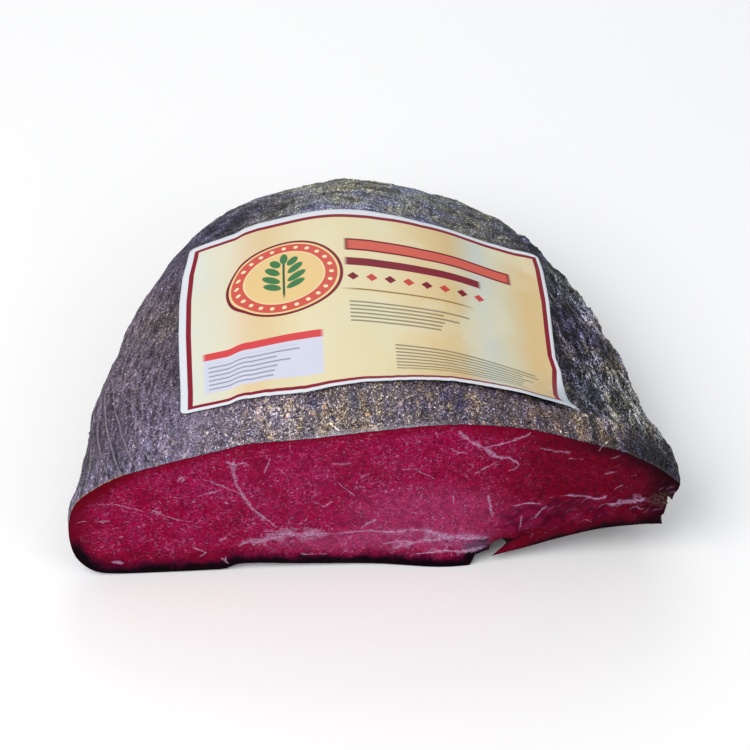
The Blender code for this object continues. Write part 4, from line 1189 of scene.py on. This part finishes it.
marks += [
    ("#9a7a45", box_mask((16, 1.5), (26, 0.5))),
    ("#5c5644", rules_mask((17, -12), (27, 7.2), 2.4, 1, 16), 0.72),
    ("#5c5644", rules_mask((40, -40), (32, 9.5), 2.4, 1, 10), 0.72),
    ("#d3d6e6", box_mask((-47, -37), (25, 13))), ("#d8474a", box_mask((-47, -26.2), (25, 2.2))),
    ("#4f5264", rules_mask((-50, -39.5), (20, 8.5), 2.8, 0.9, 13), 0.6),
]
for ink, *shares in marks:
    colour = over(colour, ink, *shares)
end_in_shader(printed_paper, {"Base Color": colour, "Roughness": 0.45, "IOR": 1.5, "Specular IOR Level": 0.2})
label.data.materials.append(printed_paper)
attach(label, "root")
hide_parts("label")

# The studio
# A pale floor, a wide soft light from the upper left, a fill from the right and the photograph's viewpoint.

FLOOR_REACH, AIM = 3, Vector((0, 0, 0.03))
floor_corners = [(-FLOOR_REACH, -FLOOR_REACH, 0), (FLOOR_REACH, -FLOOR_REACH, 0)]
floor_corners += [(FLOOR_REACH, FLOOR_REACH, 0), (-FLOOR_REACH, FLOOR_REACH, 0)]
floor = mesh_from("floor", floor_corners, [(0, 1, 2, 3)])
pale = start_material("pale_floor")
end_in_shader(pale, {"Base Color": linear("#ffffff"), "Roughness": 0.9})
floor.data.materials.append(pale)
floor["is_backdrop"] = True

for name, place, size, power, tint in [
    ("key", (-0.7, -0.6, 1.0), 1.1, 11.6, (1.0, 0.98, 0.96)),
    ("fill", (0.9, -0.8, 0.6), 0.8, 2.8, (0.94, 0.96, 1.0)),
    ("back", (0.1, 1.1, 0.9), 0.8, 3.5, (1.0, 1.0, 1.0)),
]:
    light = bpy.data.lights.new(name, "AREA")
    light.size, light.energy, light.color = size, power, tint
    lamp = bpy.data.objects.new(name, light)
    lamp.location = place
    lamp.rotation_euler = (AIM - Vector(place)).to_track_quat("-Z", "Y").to_euler()
    bpy.context.scene.collection.objects.link(lamp)

world = bpy.data.worlds.new("studio")
bpy.context.scene.world = world
world.use_nodes = True
world.node_tree.nodes["Background"].inputs["Color"].default_value = (0.95, 0.97, 1.0, 1)
world.node_tree.nodes["Background"].inputs["Strength"].default_value = 0.5
bpy.context.scene.view_settings.view_transform = "Standard"

# The camera: the photograph's middle, and the pixel of it that lies straight ahead
VIEW_AZIMUTH, VIEW_ELEVATION = math.radians(-3), math.radians(43)
PHOTO_SIZE, AHEAD_PIXEL, PIXELS_PER_RADIAN = 750, (367.55, 410.33), 2206.4
ahead = -Vector((
    math.sin(VIEW_AZIMUTH) * math.cos(VIEW_ELEVATION),
    -math.cos(VIEW_AZIMUTH) * math.cos(VIEW_ELEVATION),
    math.sin(VIEW_ELEVATION),
))
rightways = ahead.cross(Vector((0, 0, 1))).normalized()
upwards = rightways.cross(ahead)
aim = ahead + rightways * (PHOTO_SIZE / 2 - AHEAD_PIXEL[0]) / PIXELS_PER_RADIAN
aim += upwards * (AHEAD_PIXEL[1] - PHOTO_SIZE / 2) / PIXELS_PER_RADIAN
camera = bpy.data.objects.new("camera", bpy.data.cameras.new("camera"))
camera.data.lens = camera.data.sensor_width * PIXELS_PER_RADIAN / PHOTO_SIZE
camera.location = (-0.03636, CUT_Y - 0.63383, 0.6804)
camera.rotation_euler = aim.to_track_quat("-Z", "Y").to_euler()
bpy.context.scene.collection.objects.link(camera)
bpy.context.scene.camera = camera

sizes = {"cad": cad_box, "visual": [list(corner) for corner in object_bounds()]}
